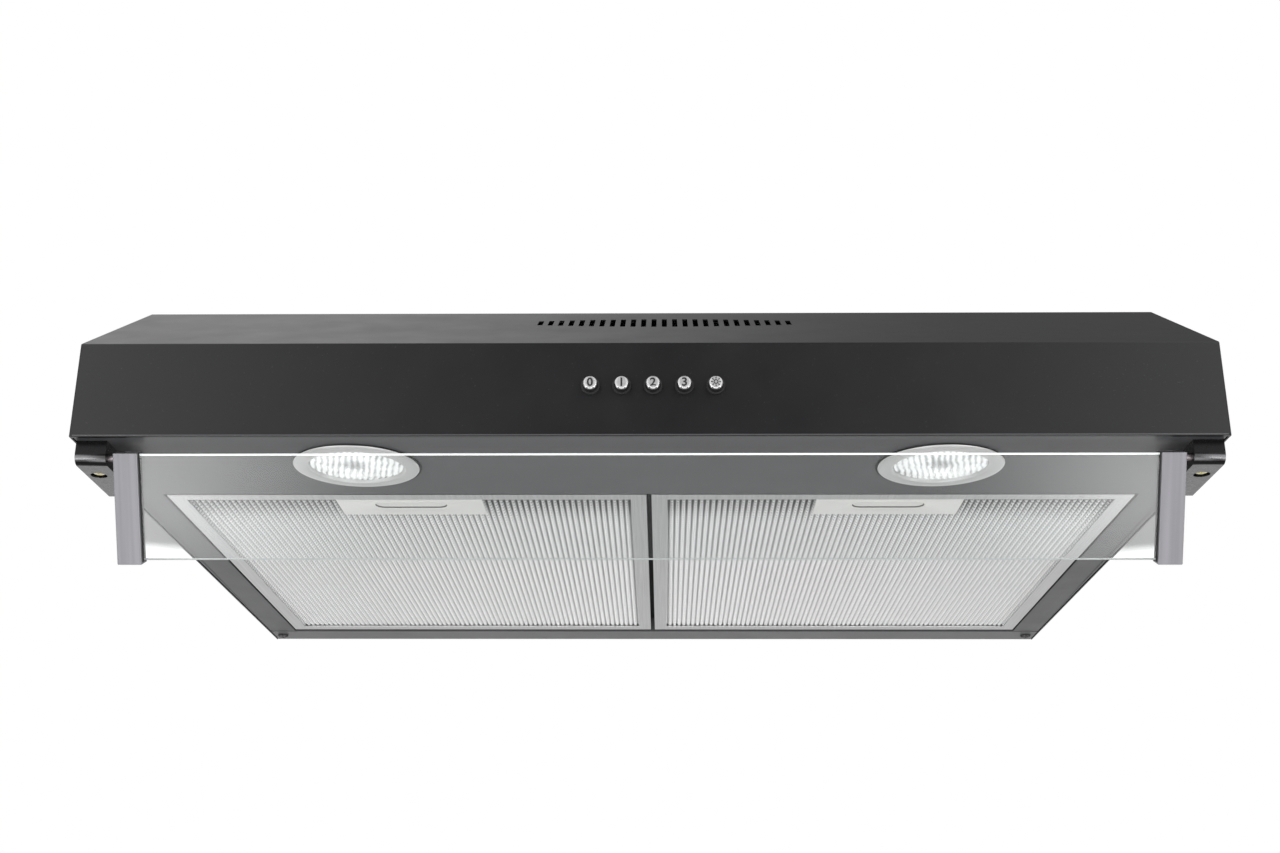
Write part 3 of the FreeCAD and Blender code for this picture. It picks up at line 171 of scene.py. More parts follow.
def make_studio():
    make_world()
    scene.view_settings.view_transform = "Standard"
    middle = (0, 0, UNDERSIDE)
    x, y, z = LOW_PLACE
    area_light("low_left", (-x, y, z), middle, LOW_SIZE, LOW_POWER)
    area_light("low_right", (x, y, z), middle, LOW_SIZE, LOW_POWER)
    area_light("bounce_low", BOUNCE_PLACE, BOUNCE_AIM, BOUNCE_SIZE, BOUNCE_POWER)

    mesh = bpy.data.meshes.new("floor")
    half = FLOOR_HALF
    level = UNDERSIDE - FLOOR_DROP
    mesh.from_pydata([(-half, -half, level), (half, -half, level), (half, half, level), (-half, half, level)],
                     [], [(0, 1, 2, 3)])
    floor = bpy.data.objects.new("floor", mesh)
    scene.collection.objects.link(floor)
    floor.data.materials.append(floor_material())
    floor.visible_glossy = False


# ---------------------------------------------------------------- material helpers

PEEL_DEPTH = 0.012 * MM
SCRATCH_DEPTH = 0.008 * MM
GRAIN_DEPTH = 0.02 * MM


class Nodes:
    """Builds one material's node tree around a Principled shader."""

    def __init__(self, name):
        self.material = bpy.data.materials.new(name)
        self.material.use_nodes = True
        self.tree = self.material.node_tree
        self.shader = self.tree.nodes["Principled BSDF"]

    def set(self, **values):
        for key, value in values.items():
            socket = self.shader.inputs[key.replace("_", " ")]
            socket.default_value = (*value, 1.0) if isinstance(value, tuple) and len(value) == 3 else value
        return self

    def add(self, kind, inputs=None, **settings):
        node = self.tree.nodes.new("ShaderNode" + kind)
        for key, value in settings.items():
            setattr(node, key, value)
        for key, value in (inputs or {}).items():
            socket = node.inputs[key]
            if hasattr(value, "links"):
                self.tree.links.new(value, socket)
            else:
                socket.default_value = value
        return node

    def link(self, output, name):
        self.tree.links.new(output, self.shader.inputs[name])

    def place(self, scale=(1, 1, 1), turn=(0, 0, 0)):
        """Object coordinates in metres, stretched by scale."""
        where = self.add("TexCoord").outputs["Object"]
        mapping = self.add("Mapping", {"Vector": where})
        mapping.inputs["Scale"].default_value = scale
        mapping.inputs["Rotation"].default_value = turn
        return mapping.outputs["Vector"]

    def noise(self, where, scale, detail=3.0, roughness=0.55):
        inputs = {"Vector": where, "Scale": scale, "Detail": detail, "Roughness": roughness}
        return self.add("TexNoise", inputs).outputs["Fac"]

    def ramp(self, value, stops):
        node = self.add("ValToRGB", {"Fac": value})
        ramp = node.color_ramp
        while len(ramp.elements) < len(stops):
            ramp.elements.new(0.5)
        for element, (position, colour) in zip(ramp.elements, stops):
            element.position = position
            element.color = (*colour, 1) if len(colour) == 3 else colour
        return node.outputs["Color"]

    def grey(self, value, low, high, start=0.0, end=1.0):
        """A number between start and end mapped to a range."""
        inputs = {"Value": value, "From Min": start, "From Max": end, "To Min": low, "To Max": high}
        return self.add("MapRange", inputs).outputs["Result"]

    def math(self, operation, a, b=0.0):
        node = self.add("Math", {0: a, 1: b}, operation=operation)
        return node.outputs["Value"]

    def mix(self, factor, a, b):
        node = self.add("Mix", data_type="RGBA")
        for key, value in ((0, factor), (6, a), (7, b)):
            if hasattr(value, "links"):
                self.tree.links.new(value, node.inputs[key])
            else:
                node.inputs[key].default_value = (*value, 1) if isinstance(value, tuple) else value
        return node.outputs[2]

    def bump(self, height, distance):
        inputs = {"Height": height, "Distance": distance, "Strength": 1.0}
        return self.add("Bump", inputs).outputs["Normal"]


def scaled(colour, factor):
    return tuple(min(1.0, c * factor) for c in colour)


def floor_material():
    n = Nodes("floor_paper").set(Roughness=0.9)
    tone = n.noise(n.place(), 3.0, 2.0)
    n.link(n.ramp(tone, [(0.3, (0.80, 0.80, 0.80)), (0.7, (0.84, 0.84, 0.84))]), "Base Color")
    return n.material


def paint_material(name, colour, rough):
    """Satin paint: faint tone drift, orange peel and fine specks of dust."""
    n = Nodes(name)
    where = n.place()
    drift = n.noise(where, 9.0, 3.0)
    speck = n.noise(where, 900.0, 2.0, 0.7)
    base = n.ramp(drift, [(0.3, colour), (0.7, scaled(colour, 1.18))])
    dust = n.grey(n.math("GREATER_THAN", speck, 0.71), 0.0, 0.08)
    n.link(n.mix(dust, base, (0.35, 0.35, 0.35)), "Base Color")
    n.link(n.grey(n.noise(where, 40.0, 4.0), rough - 0.05, rough + 0.06), "Roughness")
    n.link(n.bump(n.noise(where, 1300.0, 2.0), PEEL_DEPTH), "Normal")
    return n.material


def brushed_material(name, colour, rough, along, metallic=1.0, contrast=0.12):
    """Metal with fine scratches along one axis: 0 for X, 1 for Y, 2 for Z."""
    n = Nodes(name).set(Metallic=metallic)
    scale = [1600.0, 1600.0, 1600.0]
    scale[along] = 14.0
    streak = n.noise(n.place(tuple(scale)), 1.0, 3.0, 0.6)
    cloud = n.noise(n.place(), 22.0, 3.0)
    dark, light = scaled(colour, 1 - contrast), scaled(colour, 1 + contrast)
    base = n.ramp(streak, [(0.3, dark), (0.7, light)])
    n.link(n.mix(n.grey(cloud, 0.0, 0.25), base, dark), "Base Color")
    n.link(n.grey(streak, rough - 0.06, rough + 0.08), "Roughness")
    n.link(n.bump(streak, SCRATCH_DEPTH), "Normal")
    return n.material


def bracket_material(name, rough):
    """Black sheet with a painted highlight band round its barrel and a painted grey sheen on its flat
    underside, set by which way each face points.
    """
    n = Nodes(name).set(Metallic=0.7)
    normal = n.add("SeparateXYZ", {"Vector": n.add("TexCoord").outputs["Normal"]}).outputs["Z"]
    down = n.math("MULTIPLY", normal, -1.0)
    wear = n.noise(n.place(), 300.0, 3.0)
    # Colour by the face's downward tilt: black, a painted highlight band on the barrel, black again, then a
    # painted grey sheen on faces looking straight down.
    black, bright, grey = (0.010, 0.010, 0.011), (0.16, 0.16, 0.165), (0.13, 0.128, 0.135)
    stops = [(0.10, black), (0.20, bright), (0.66, bright), (0.76, black), (0.975, black), (0.99, grey)]
    n.link(n.mix(n.grey(wear, 0.0, 0.3), n.ramp(down, stops), black), "Base Color")
    n.link(n.grey(wear, rough - 0.04, rough + 0.08), "Roughness")
    n.link(n.bump(wear, 0.00001), "Normal")
    return n.material


def arm_material(name, colour, rough):
    """Silver-grey lacquer over a drawn profile: soft bands along its length."""
    n = Nodes(name).set(Metallic=0.5)
    band = n.noise(n.place((1.0, 0.02, 0.02)), 260.0, 2.0)
    fine = n.noise(n.place((1.0, 0.01, 0.01)), 1500.0, 2.0)
    n.link(n.ramp(band, [(0.3, scaled(colour, 0.86)), (0.7, scaled(colour, 1.14))]), "Base Color")
    n.link(n.grey(fine, rough - 0.04, rough + 0.06), "Roughness")
    n.link(n.bump(fine, 0.000004), "Normal")
    return n.material


def spangle_material(name, colour, rough):
    """Zinc-coated sheet with its crystal pattern."""
    n = Nodes(name).set(Metallic=1.0)
    where = n.place()
    cells = n.add("TexVoronoi", {"Vector": where, "Scale": 130.0, "Randomness": 1.0})
    tone = n.add("SeparateColor", {"Color": cells.outputs["Color"]}).outputs["Red"]
    n.link(n.ramp(tone, [(0.0, scaled(colour, 0.84)), (1.0, colour)]), "Base Color")
    n.link(n.grey(tone, rough - 0.08, rough + 0.1), "Roughness")
    n.link(n.bump(n.noise(where, 700.0), 0.000006), "Normal")
    return n.material


def plastic_material(name, colour, rough):
    """Moulded plastic with a fine eroded grain."""
    n = Nodes(name)
    where = n.place()
    cloud = n.noise(where, 30.0, 3.0)
    lighter = tuple(min(1.0, c * 1.2 + 0.003) for c in colour)
    n.link(n.ramp(cloud, [(0.3, colour), (0.7, lighter)]), "Base Color")
    n.link(n.grey(n.noise(where, 260.0), rough - 0.06, rough + 0.06), "Roughness")
    n.link(n.bump(n.noise(where, 1800.0, 2.0), GRAIN_DEPTH), "Normal")
    return n.material


def chrome_material(name, colour, rough):
    """Bright plating with faint smears and hairline marks."""
    n = Nodes(name).set(Metallic=1.0)
    where = n.place()
    smear = n.noise(where, 120.0, 4.0)
    hair = n.noise(n.place((4000.0, 300.0, 4000.0), (0.0, 0.4, 0.7)), 1.0, 2.0)
    n.link(n.ramp(smear, [(0.35, colour), (0.75, scaled(colour, 0.9))]), "Base Color")
    n.link(n.grey(n.math("MULTIPLY", smear, hair), rough, rough + 0.05), "Roughness")
    n.link(n.bump(hair, 0.000002), "Normal")
    return n.material


def glass_material(name, tint):
    """Clear float glass with faint smears. The pane's edges have their own material."""
    n = Nodes(name).set(Transmission_Weight=1.0, IOR=1.5)
    smear = n.noise(n.place((3.0, 3.0, 9.0)), 6.0, 4.0)
    n.link(n.ramp(smear, [(0.3, tint), (0.75, scaled(tint, 0.985))]), "Base Color")
    n.link(n.math("MULTIPLY", smear, 0.03), "Roughness")
    return n.material


def ground_edge_material(name, colour, glow):
    """Ground glass edge: frosted, and lit by the light that the pane carries to it."""
    n = Nodes(name).set(Transmission_Weight=0.45, IOR=1.5, Emission_Strength=glow)
    where = n.place((60.0, 900.0, 900.0))
    grind = n.noise(where, 1.0, 3.0)
    tone = n.ramp(grind, [(0.3, scaled(colour, 0.86)), (0.7, colour)])
    n.link(tone, "Base Color")
    n.link(tone, "Emission Color")
    n.link(n.grey(grind, 0.28, 0.42), "Roughness")
    n.link(n.bump(grind, 0.00001), "Normal")
    return n.material


def reflector_material(name, colour, rough, glow):
    """Vacuum-metallised plastic: bright and slightly cloudy, with a faint painted glow standing in for the
    lamp's light behind the lens.
    """
    n = Nodes(name).set(Metallic=0.85, Emission_Strength=glow)
    cloud = n.noise(n.place(), 160.0, 4.0)
    tone = n.ramp(cloud, [(0.35, colour), (0.75, scaled(colour, 0.88))])
    n.link(tone, "Base Color")
    n.link(tone, "Emission Color")
    n.link(n.grey(cloud, rough - 0.04, rough + 0.06), "Roughness")
    n.link(n.bump(n.noise(n.place(), 500.0), 0.000004), "Normal")
    return n.material


def lens_material(name, tint, splay, socket):
    """Pressed lamp glass, milky and ribbed front to back, lit from inside but for the socket's shade."""
    n = Nodes(name).set(Transmission_Weight=0.6, IOR=1.45)
    where = n.place(turn=(0.0, 0.0, splay))
    wave = {"Vector": where, "Scale": 2 * math.pi / (20 * RIB_PITCH), "Distortion": 3.0, "Detail": 2.0,
            "Detail Scale": 0.9}
    rib = n.add("TexWave", wave).outputs["Fac"]
    cloud = n.noise(where, 90.0, 3.0)
    here = n.add("TexCoord").outputs["Object"]
    away = n.add("VectorMath", {0: here, 1: socket}, operation="DISTANCE").outputs["Value"]
    grain = n.math("ADD", n.math("MULTIPLY", rib, 0.4), n.math("MULTIPLY", cloud, 0.75))
    level = n.math("MULTIPLY", grain, n.grey(away, 0.55, 1.0, *SOCKET_SHADE))
    tone = n.ramp(level, [(0.25, scaled(tint, 0.55)), (0.62, tint)])
    n.link(tone, "Base Color")
    n.link(tone, "Emission Color")
    n.link(n.grey(level, 0.0, LENS_GLOW, 0.25, 0.65), "Emission Strength")
    n.link(n.grey(cloud, 0.05, 0.2), "Roughness")
    return n.material


def mesh_material(name, ridge, hollow_shade, level, rise, front, back):
    """Expanded aluminium: polished ridges, with painted shade darkening the hollows between them, and less
    painted shade towards the back.
    """
    n = Nodes(name).set(Metallic=0.25)
    axes = n.add("SeparateXYZ", {"Vector": n.add("TexCoord").outputs["Object"]}).outputs
    depth = n.grey(axes["Z"], 0.0, 1.0, level, level + rise)
    fade = n.grey(axes["Y"], 1.0, 0.55, front, back)
    wear = n.noise(n.place((900.0, 60.0, 900.0)), 1.0, 3.0)
    shade = n.math("MULTIPLY", n.math("MULTIPLY", depth, fade), n.grey(wear, 0.8, 1.15))
    halfway = tuple(0.62 * a + 0.38 * b for a, b in zip(ridge, hollow_shade))
    n.link(n.ramp(shade, [(0.0, ridge), (0.5, halfway), (0.95, hollow_shade)]), "Base Color")
    n.link(n.grey(wear, 0.26, 0.40), "Roughness")
    n.link(n.bump(wear, 0.00002), "Normal")
    return n.material


# ---------------------------------------------------------------- CAD nodes that keep their shape

SHEET_EDGE = 0.5 * MM
BAR_EDGE = 0.6 * MM
EDGE_ANGLE = math.radians(25)


def softened(node, width, segments):
    """Rounds a CAD node's sharp edges a little, so that they catch the light."""
    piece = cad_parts[node]
    weld = piece.modifiers.new("weld", "WELD")
    weld.merge_threshold = 0.02 * MM
    bevel = piece.modifiers.new("edges", "BEVEL")
    bevel.width = width
    bevel.segments = segments
    bevel.limit_method = "ANGLE"
    bevel.angle_limit = EDGE_ANGLE
    bevel.harden_normals = True


def dress(names, material):
    for name in names:
        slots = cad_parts[name].data.materials
        if len(slots) == 0:
            slots.append(material)
        for i in range(len(slots)):
            slots[i] = material


def both(pattern):
    return [pattern.replace("*", side) for side in ("left", "right")]


# ---------------------------------------------------------------- new pieces

def piece(name, verts, faces, body, slot, replaced, materials, smooth=False, face_slots=None):
    mesh = bpy.data.meshes.new(name)
    mesh.from_pydata([tuple(v) for v in verts], [], faces)
    mesh.validate()
    mesh.update()
    made = bpy.data.objects.new(name, mesh)
    scene.collection.objects.link(made)
    for material in materials:
        mesh.materials.append(material)
    if face_slots is not None:
        mesh.polygons.foreach_set("material_index", face_slots)
    mesh.polygons.foreach_set("use_smooth", [smooth] * len(mesh.polygons))
    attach(made, body)
    if replaced:
        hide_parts(*replaced)
    return made


def smooth(t):
    t = min(1.0, max(0.0, t))
    return t * t * (3 - 2 * t)


def merged(parts):
    """One vertex and face list from several."""
    verts, faces = [], []
    for more_verts, more_faces in parts:
        start = len(verts)
        verts.extend(more_verts)
        faces.extend(tuple(start + i for i in face) for face in more_faces)
    return verts, faces


def revolved(profile, centre, axis, count):
    """A closed solid or ring from (radius, height) points. The height runs along axis, 1 for Y or 2 for Z."""
    verts, rings = [], []
    for radius, height in profile:
        if radius < 1e-9:
            rings.append([len(verts)])
            angles = [0.0]
        else:
            rings.append(list(range(len(verts), len(verts) + count)))
            angles = [2 * math.pi * k / count for k in range(count)]
        for angle in angles:
            a, b = radius * math.cos(angle), radius * math.sin(angle)
            offset = (a, height, -b) if axis == 1 else (a, b, height)
            verts.append(tuple(c + o for c, o in zip(centre, offset)))
    loops_back = len(rings[0]) > 1 and len(rings[-1]) > 1
    faces = []
    for low, high in zip(rings, rings[1:] + (rings[:1] if loops_back else [])):
        for k in range(count):
            after = (k + 1) % count
            if len(low) == 1:
                faces.append((low[0], high[after], high[k]))
            elif len(high) == 1:
                faces.append((low[k], low[after], high[0]))
            else:
                faces.append((low[k], low[after], high[after], high[k]))
    return verts, faces


def facing_out(made, weld=0.0):
    """Turns every face outwards, once points closer than weld are joined."""
    mesh = bmesh.new()
    mesh.from_mesh(made.data)
    if weld:
        bmesh.ops.remove_doubles(mesh, verts=mesh.verts, dist=weld)
    bmesh.ops.recalc_face_normals(mesh, faces=mesh.faces)
    mesh.to_mesh(made.data)
    mesh.free()


def creased(made, angle):
    """Smooth shading that keeps edges sharper than the angle, in degrees."""
    made.data.set_sharp_from_angle(angle=math.radians(angle))


# ---------------------------------------------------------------- filter mesh

STRAND_X = 1.75 * MM
STRAND_Y = 2.3 * MM
BOND_LONG = 1.35 * MM
BOND_WIDE = 0.72 * MM
STRAND_THICK = 0.5 * MM
RIDGE_RISE = 1.8 * MM
CORE_PITCH = 6.0 * MM
CORE_LEVEL = 4.3 * MM
BACK_LEVEL = 5.4 * MM
BORDER = 2.4 * MM
BORDER_GAP = 1.4 * MM
BORDER_CLEAR = 0.7
FACE_END = 0.6 * MM
SAG_RISE = 1.3 * MM
SAG_REACH = 60 * MM
BAND_STEPS = 24
FACE_GAP = 0.1 * MM
BAND_RISE = 0.2 * MM
FOLD_THICK = 0.15 * MM
FOLD_MARGIN = Vector((2 * MM, MM, 0))


def lattice(low, high, level):
    """Expanded metal: diamonds that rise and fall from column to column, so that ridges run along Y."""
    columns = int((high.x - low.x) / STRAND_X)
    rows = int((high.y - low.y) / STRAND_Y)
    start_x = (low.x + high.x - columns * STRAND_X) / 2
    start_y = (low.y + high.y - rows * STRAND_Y) / 2
    index = {}
    verts, faces = [], []
    for i in range(columns + 1):
        for j in range(i % 2, rows + 1, 2):
            x = start_x + i * STRAND_X
            y = start_y + j * STRAND_Y
            sag = SAG_RISE * (1 - smooth((y - low.y) / SAG_REACH))
            z = level + sag + (RIDGE_RISE if i % 2 else 0.0)
            index[i, j] = len(verts)
            verts.extend(((x, y + BOND_LONG, z), (x + BOND_WIDE, y, z), (x, y - BOND_LONG, z),
                          (x - BOND_WIDE, y, z), (x, y, z + STRAND_THICK)))
    for (i, j), a in index.items():
        faces.append((a, a + 1, a + 2, a + 3))
        b = index.get((i + 1, j + 1))
        if b is not None:
            faces.extend(((a, b + 3, b + 2, a + 1), (b + 3, a, a + 4, b + 4), (a + 1, b + 2, b + 4, a + 4)))
        b = index.get((i + 1, j - 1))
        if b is not None:
            faces.extend(((a + 1, b, b + 3, a + 2), (b, a + 1, a + 4, b + 4), (a + 2, b + 3, b + 4, a + 4)))
    return verts, faces


def folded_sheet(low, high, pitch, along, thick):
    """A sheet folded in a zigzag between low.z and high.z; its folds run along X (0) or Y (1)."""
    across = 1 - along
    count = max(2, int(round((high[across] - low[across]) / (pitch / 2))))
    verts, faces = [], []
    for k in range(count + 1):
        t = low[across] + (high[across] - low[across]) * k / count
        z = low.z if k % 2 else high.z - thick
        for end in (low[along], high[along]):
            for lift in (0.0, thick):
                verts.append((end, t, z + lift) if along == 0 else (t, end, z + lift))
    for k in range(count):
        a, b = 4 * k, 4 * k + 4
        faces.extend(((a, b, b + 2, a + 2), (a + 1, a + 3, b + 3, b + 1),
                      (a, a + 1, b + 1, b), (a + 2, b + 2, b + 3, a + 3)))
    last = 4 * count
    faces.extend(((0, 2, 3, 1), (last, last + 1, last + 3, last + 2)))
    return verts, faces


def side_bands(low, high, level):
    """Flat foil strips along both sides that follow the face's sag."""
    steps = BAND_STEPS
    parts = []
    for x0, x1 in ((low.x, low.x + BORDER), (high.x - BORDER, high.x)):
        verts, faces = [], []
        for k in range(steps + 1):
            y = low.y + (high.y - low.y) * k / steps
            z = level + SAG_RISE * (1 - smooth((y - low.y) / SAG_REACH))
            verts.extend(((x0, y, z), (x1, y, z), (x1, y, z + STRAND_THICK), (x0, y, z + STRAND_THICK)))
        for k in range(steps):
            for i in range(4):
                j = (i + 1) % 4
                faces.append((4 * k + i, 4 * k + j, 4 * k + 4 + j, 4 * k + 4 + i))
        faces.extend(((0, 3, 2, 1), tuple(4 * steps + i for i in range(4))))
        parts.append((verts, faces))
    return merged(parts)


def make_filter_mesh(side, foil, shaded_core_foil, rim_foil):
    """The face lattice with a foil strip along each side, and two folded foils behind it."""
    node = "filter_%s_mesh" % side
    body = "filter_" + side
    low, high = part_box(node)
    level = low.z + FACE_GAP
    gap = Vector((BORDER_GAP, 0.0, 0))
    inset = gap + Vector((BORDER * BORDER_CLEAR, FACE_END, 0))
    face = lattice(low + inset, high - inset, level)
    band = side_bands(low + gap, high - gap, level + BAND_RISE)
    inner_low, inner_high = low + FOLD_MARGIN, high - FOLD_MARGIN
    core_low = inner_low + Vector((0, 0, CORE_LEVEL))
    core_high = Vector((inner_high.x, inner_high.y, low.z + BACK_LEVEL))
    core = folded_sheet(core_low, core_high, CORE_PITCH, 0, FOLD_THICK)
    back_low = inner_low + Vector((0, 0, BACK_LEVEL))
    back = folded_sheet(back_low, inner_high, 2 * STRAND_X, 1, FOLD_THICK)
    piece("filter_face_" + side, *face, body, "filter_aluminium", [node], [foil])
    piece("filter_layers_" + side, *merged([core, back]), body, "filter_aluminium", [node], [shaded_core_foil])
    piece("filter_border_" + side, *band, body, "filter_aluminium", [node], [rim_foil])


# ---------------------------------------------------------------- latch handle

POCKET_STEPS = 32
WALL_STEPS = 8
LIP_STEPS = 6
EDGE_STEPS = 4
POCKET_HALF = 21.0 * MM
POCKET_WIDE = 11.0 * MM
POCKET_MARGIN = 5.5 * MM
TONGUE_REACH = 10.1 * MM
TONGUE_HALF = 6.0 * MM
TONGUE_THICK = 1.3 * MM
TONGUE_RISE = 3.0 * MM
POCKET_RISE = 0.7 * MM
POCKET_WALL = 0.5 * MM
LIP_WIDE = 1.6 * MM
LIP_RISE = 0.35 * MM
PLATE_THICK = 0.3 * MM
PLATE_ROUND = 0.35 * MM
FLOOR_RADIUS = 0.4 * MM
STALK_AHEAD = 1.5 * MM
STALK_BEHIND = 2.0 * MM
OUT_OF_REACH = 9.0


def brick(low, high):
    x0, y0, z0 = low
    x1, y1, z1 = high
    verts = [(x, y, z) for z in (z0, z1) for x, y in ((x0, y0), (x1, y0), (x1, y1), (x0, y1))]
    return verts, [(3, 2, 1, 0), (4, 5, 6, 7), (0, 1, 5, 4), (1, 2, 6, 5), (2, 3, 7, 6), (3, 0, 4, 7)]


def ring_strip(rings):
    """Faces between rings of equal count; the last ring joins the first."""
    count = rings[1] - rings[0]
    faces = []
    for near, far in zip(rings, rings[1:] + rings[:1]):
        for k in range(count):
            after = (k + 1) % count
            faces.append((near + k, near + after, far + after, far + k))
    return faces


def make_handle(side, material, shadow):
    """A pressed plate with a round-ended finger pocket: rings from the pocket's floor to the plate's edge."""
    node = "filter_%s_latch_handle" % side
    low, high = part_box(node)
    front = low.y + TONGUE_REACH
    middle_x = (low.x + high.x) / 2
    pocket_y = front + POCKET_MARGIN + POCKET_WIDE / 2
    radius = POCKET_WIDE / 2
    straight = POCKET_HALF - radius
    base = low.z + LIP_RISE
    half_x = (high.x - low.x) / 2
    ahead, behind = front - pocket_y, high.y - pocket_y

    directions = []
    for sign in (1, -1):
        corners = [math.atan2(y, sign * (half_x - straight)) for y in (ahead, behind)]
        middle = 0 if sign == 1 else math.pi
        spread = [math.pi / 2 * (2 * k / POCKET_STEPS - 1) + middle for k in range(POCKET_STEPS + 1)]
        turns = [turn % (2 * math.pi) if sign == -1 else turn for turn in spread + corners]
        directions.extend((sign * straight, turn) for turn in sorted(turns))

    def around_pocket(distance):
        return [(x + distance * math.cos(turn), distance * math.sin(turn)) for x, turn in directions]

    def plate_edge(inset):
        points = []
        for x, turn in directions:
            dx, dy = math.cos(turn), math.sin(turn)
            reach = OUT_OF_REACH
            if abs(dx) > 1e-6:
                reach = (half_x - inset - math.copysign(1, dx) * x) / abs(dx)
            if abs(dy) > 1e-6:
                reach = min(reach, ((behind if dy > 0 else ahead) - math.copysign(inset, dy)) / dy)
            points.append((x + reach * dx, reach * dy))
        return points

    skin = [(around_pocket(FLOOR_RADIUS), POCKET_RISE)]
    for k in range(WALL_STEPS + 1):
        t = k / WALL_STEPS
        skin.append((around_pocket(radius - POCKET_WALL * (1 - t)), POCKET_RISE * (1 - smooth(t))))
    for k in range(1, LIP_STEPS + 1):
        t = k / LIP_STEPS
        skin.append((around_pocket(radius + LIP_WIDE * t), -LIP_RISE * math.sin(math.pi * t)))
    for k in range(EDGE_STEPS + 1):
        turn = math.pi / 2 * k / EDGE_STEPS
        skin.append((plate_edge(PLATE_ROUND * (1 - math.sin(turn))), PLATE_ROUND * (1 - math.cos(turn))))
    # The pocket's wall rings take the second, dark material: painted shade in the recess.
    dark_rings = range(1, WALL_STEPS + 1)
    skin = skin + [(points, min(height + PLATE_THICK, high.z - base)) for points, height in reversed(skin)]
    verts, rings = [], []
    for points, height in skin:
        rings.append(len(verts))
        verts.extend((middle_x + x, pocket_y + y, base + height) for x, y in points)
    count = rings[1]
    floors = [tuple(range(count)), tuple(reversed(range(rings[-1], len(verts))))]
    faces = [face for face in ring_strip(rings) if not (face[0] >= rings[-1] and face[3] < count)]
    pocket_front = pocket_y - radius
    tongue_top = low.z + TONGUE_RISE + TONGUE_THICK
    tongue = brick((middle_x - TONGUE_HALF, low.y, low.z + TONGUE_RISE),
                   (middle_x + TONGUE_HALF, pocket_front, tongue_top))
    stalk = brick((middle_x - TONGUE_HALF, pocket_front - STALK_AHEAD, base + PLATE_THICK / 2),
                  (middle_x + TONGUE_HALF, pocket_front + STALK_BEHIND, tongue_top))
    slots = [1 if face[0] // count in dark_rings else 0 for face in faces]
    slots += [0] * (len(floors) + len(tongue[1]) + len(stalk[1]))
    made = piece("latch_plate_" + side, *merged([(verts, faces + floors), tongue, stalk]), "latch_" + side,
                 "trim_silver", [node], [material, shadow], smooth=True, face_slots=slots)
    facing_out(made)
    creased(made, 50)


# ---------------------------------------------------------------- lamps

RIB_PITCH = 3.2 * MM
RIB_RISE = 0.30 * MM
RIB_SPLAY = 0.2
RIB_START = -6 * MM
RIB_GROWTH = 4 * MM
LENS_RINGS = 34
LENS_SEGMENTS = 200
LENS_GAP = 0.5 * MM
LENS_THICK = 1.6 * MM
LENS_DOME = 2.1 * MM
LENS_FACE = 2.4 * MM
LENS_GLOW = 0.20
SOCKET_AHEAD = 7 * MM
SOCKET_SHADE = (3 * MM, 9.5 * MM)
SHADOW_GAP = 1.1 * MM
SHADOW_SHIFT = 0.55 * MM
SHADOW_RING_THICK = 0.5 * MM
SHADOW_RING_WIDE = 2 * MM
SHADOW_RING_STEPS = 96
TRIM_STEPS = 128
CHIP_STEPS = 40
SEAT_RISE = 0.25 * MM

# The trim ring's section in millimetres: distance out from the lens opening, or in from the outer edge,
# and height.
TRIM_INSIDE = ((-0.2, 3.2), (0.1, 0.7), (0.6, 0.15), (1.4, 0.0))
TRIM_OUTSIDE = ((2.5, 0.15), (0.9, 0.35), (0.3, 0.6), (0.0, 1.1))
COLLAR_IN = 3.4 * MM
COLLAR_THICK = 1.2 * MM
COLLAR_RISE = 3.4 * MM

BOWL_FACETS = 28
BOWL_LEVELS = 6
BOWL_NECK = 6.5 * MM
BOWL_THICK = 0.8 * MM
BOWL_CURVE = 1.8
CHIP_PROFILE = ((0.0, -1.6), (7.0, -1.4), (7.6, -0.6), (5.6, 2.6), (4.2, 5.0), (0.0, 5.0))


def inwards(side):
    """The sign of X towards the middle of the hood."""
    return 1 if side == "left" else -1


def make_lamp_ring(side, centre, opening, trim_metal, shadow_ring):
    """The domed trim ring with its collar, over a thin black ring of painted shadow, set off towards the
    middle so that it shows as a dark line on the trim's inner side.
    """
    low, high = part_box("lamp_trim_" + side)
    outer = (high.x - low.x) / 2
    face = low.z
    seat = UNDERSIDE + SEAT_RISE
    edge = outer - SHADOW_GAP
    collar = outer - COLLAR_IN
    profile = [(opening + r * MM, face + h * MM) for r, h in TRIM_INSIDE]
    profile += [(edge - r * MM, face + h * MM) for r, h in TRIM_OUTSIDE]
    profile += [(edge, seat), (collar, seat), (collar, high.z), (collar - COLLAR_THICK, high.z),
                (collar - COLLAR_THICK, face + COLLAR_RISE)]
    trim = piece("lamp_ring_" + side, *revolved(profile, centre, 2, TRIM_STEPS), "canopy", "trim_silver",
                 ["lamp_trim_" + side], [trim_metal], smooth=True)
    facing_out(trim)
    creased(trim, 40)

    # The black ring is painted shadow: it stands for the shade under the trim's inner rim.
    inside, outside = edge - SHADOW_RING_WIDE, outer - SHADOW_SHIFT
    section = [(inside, seat - SHADOW_RING_THICK), (outside, seat - SHADOW_RING_THICK), (outside, seat), (inside, seat)]
    shifted = centre + Vector((inwards(side) * SHADOW_SHIFT, 0, 0))
    ring = piece("lamp_shadow_ring_" + side, *revolved(section, shifted, 2, SHADOW_RING_STEPS), "canopy", "black_plastic",
                 [], [shadow_ring])
    facing_out(ring)


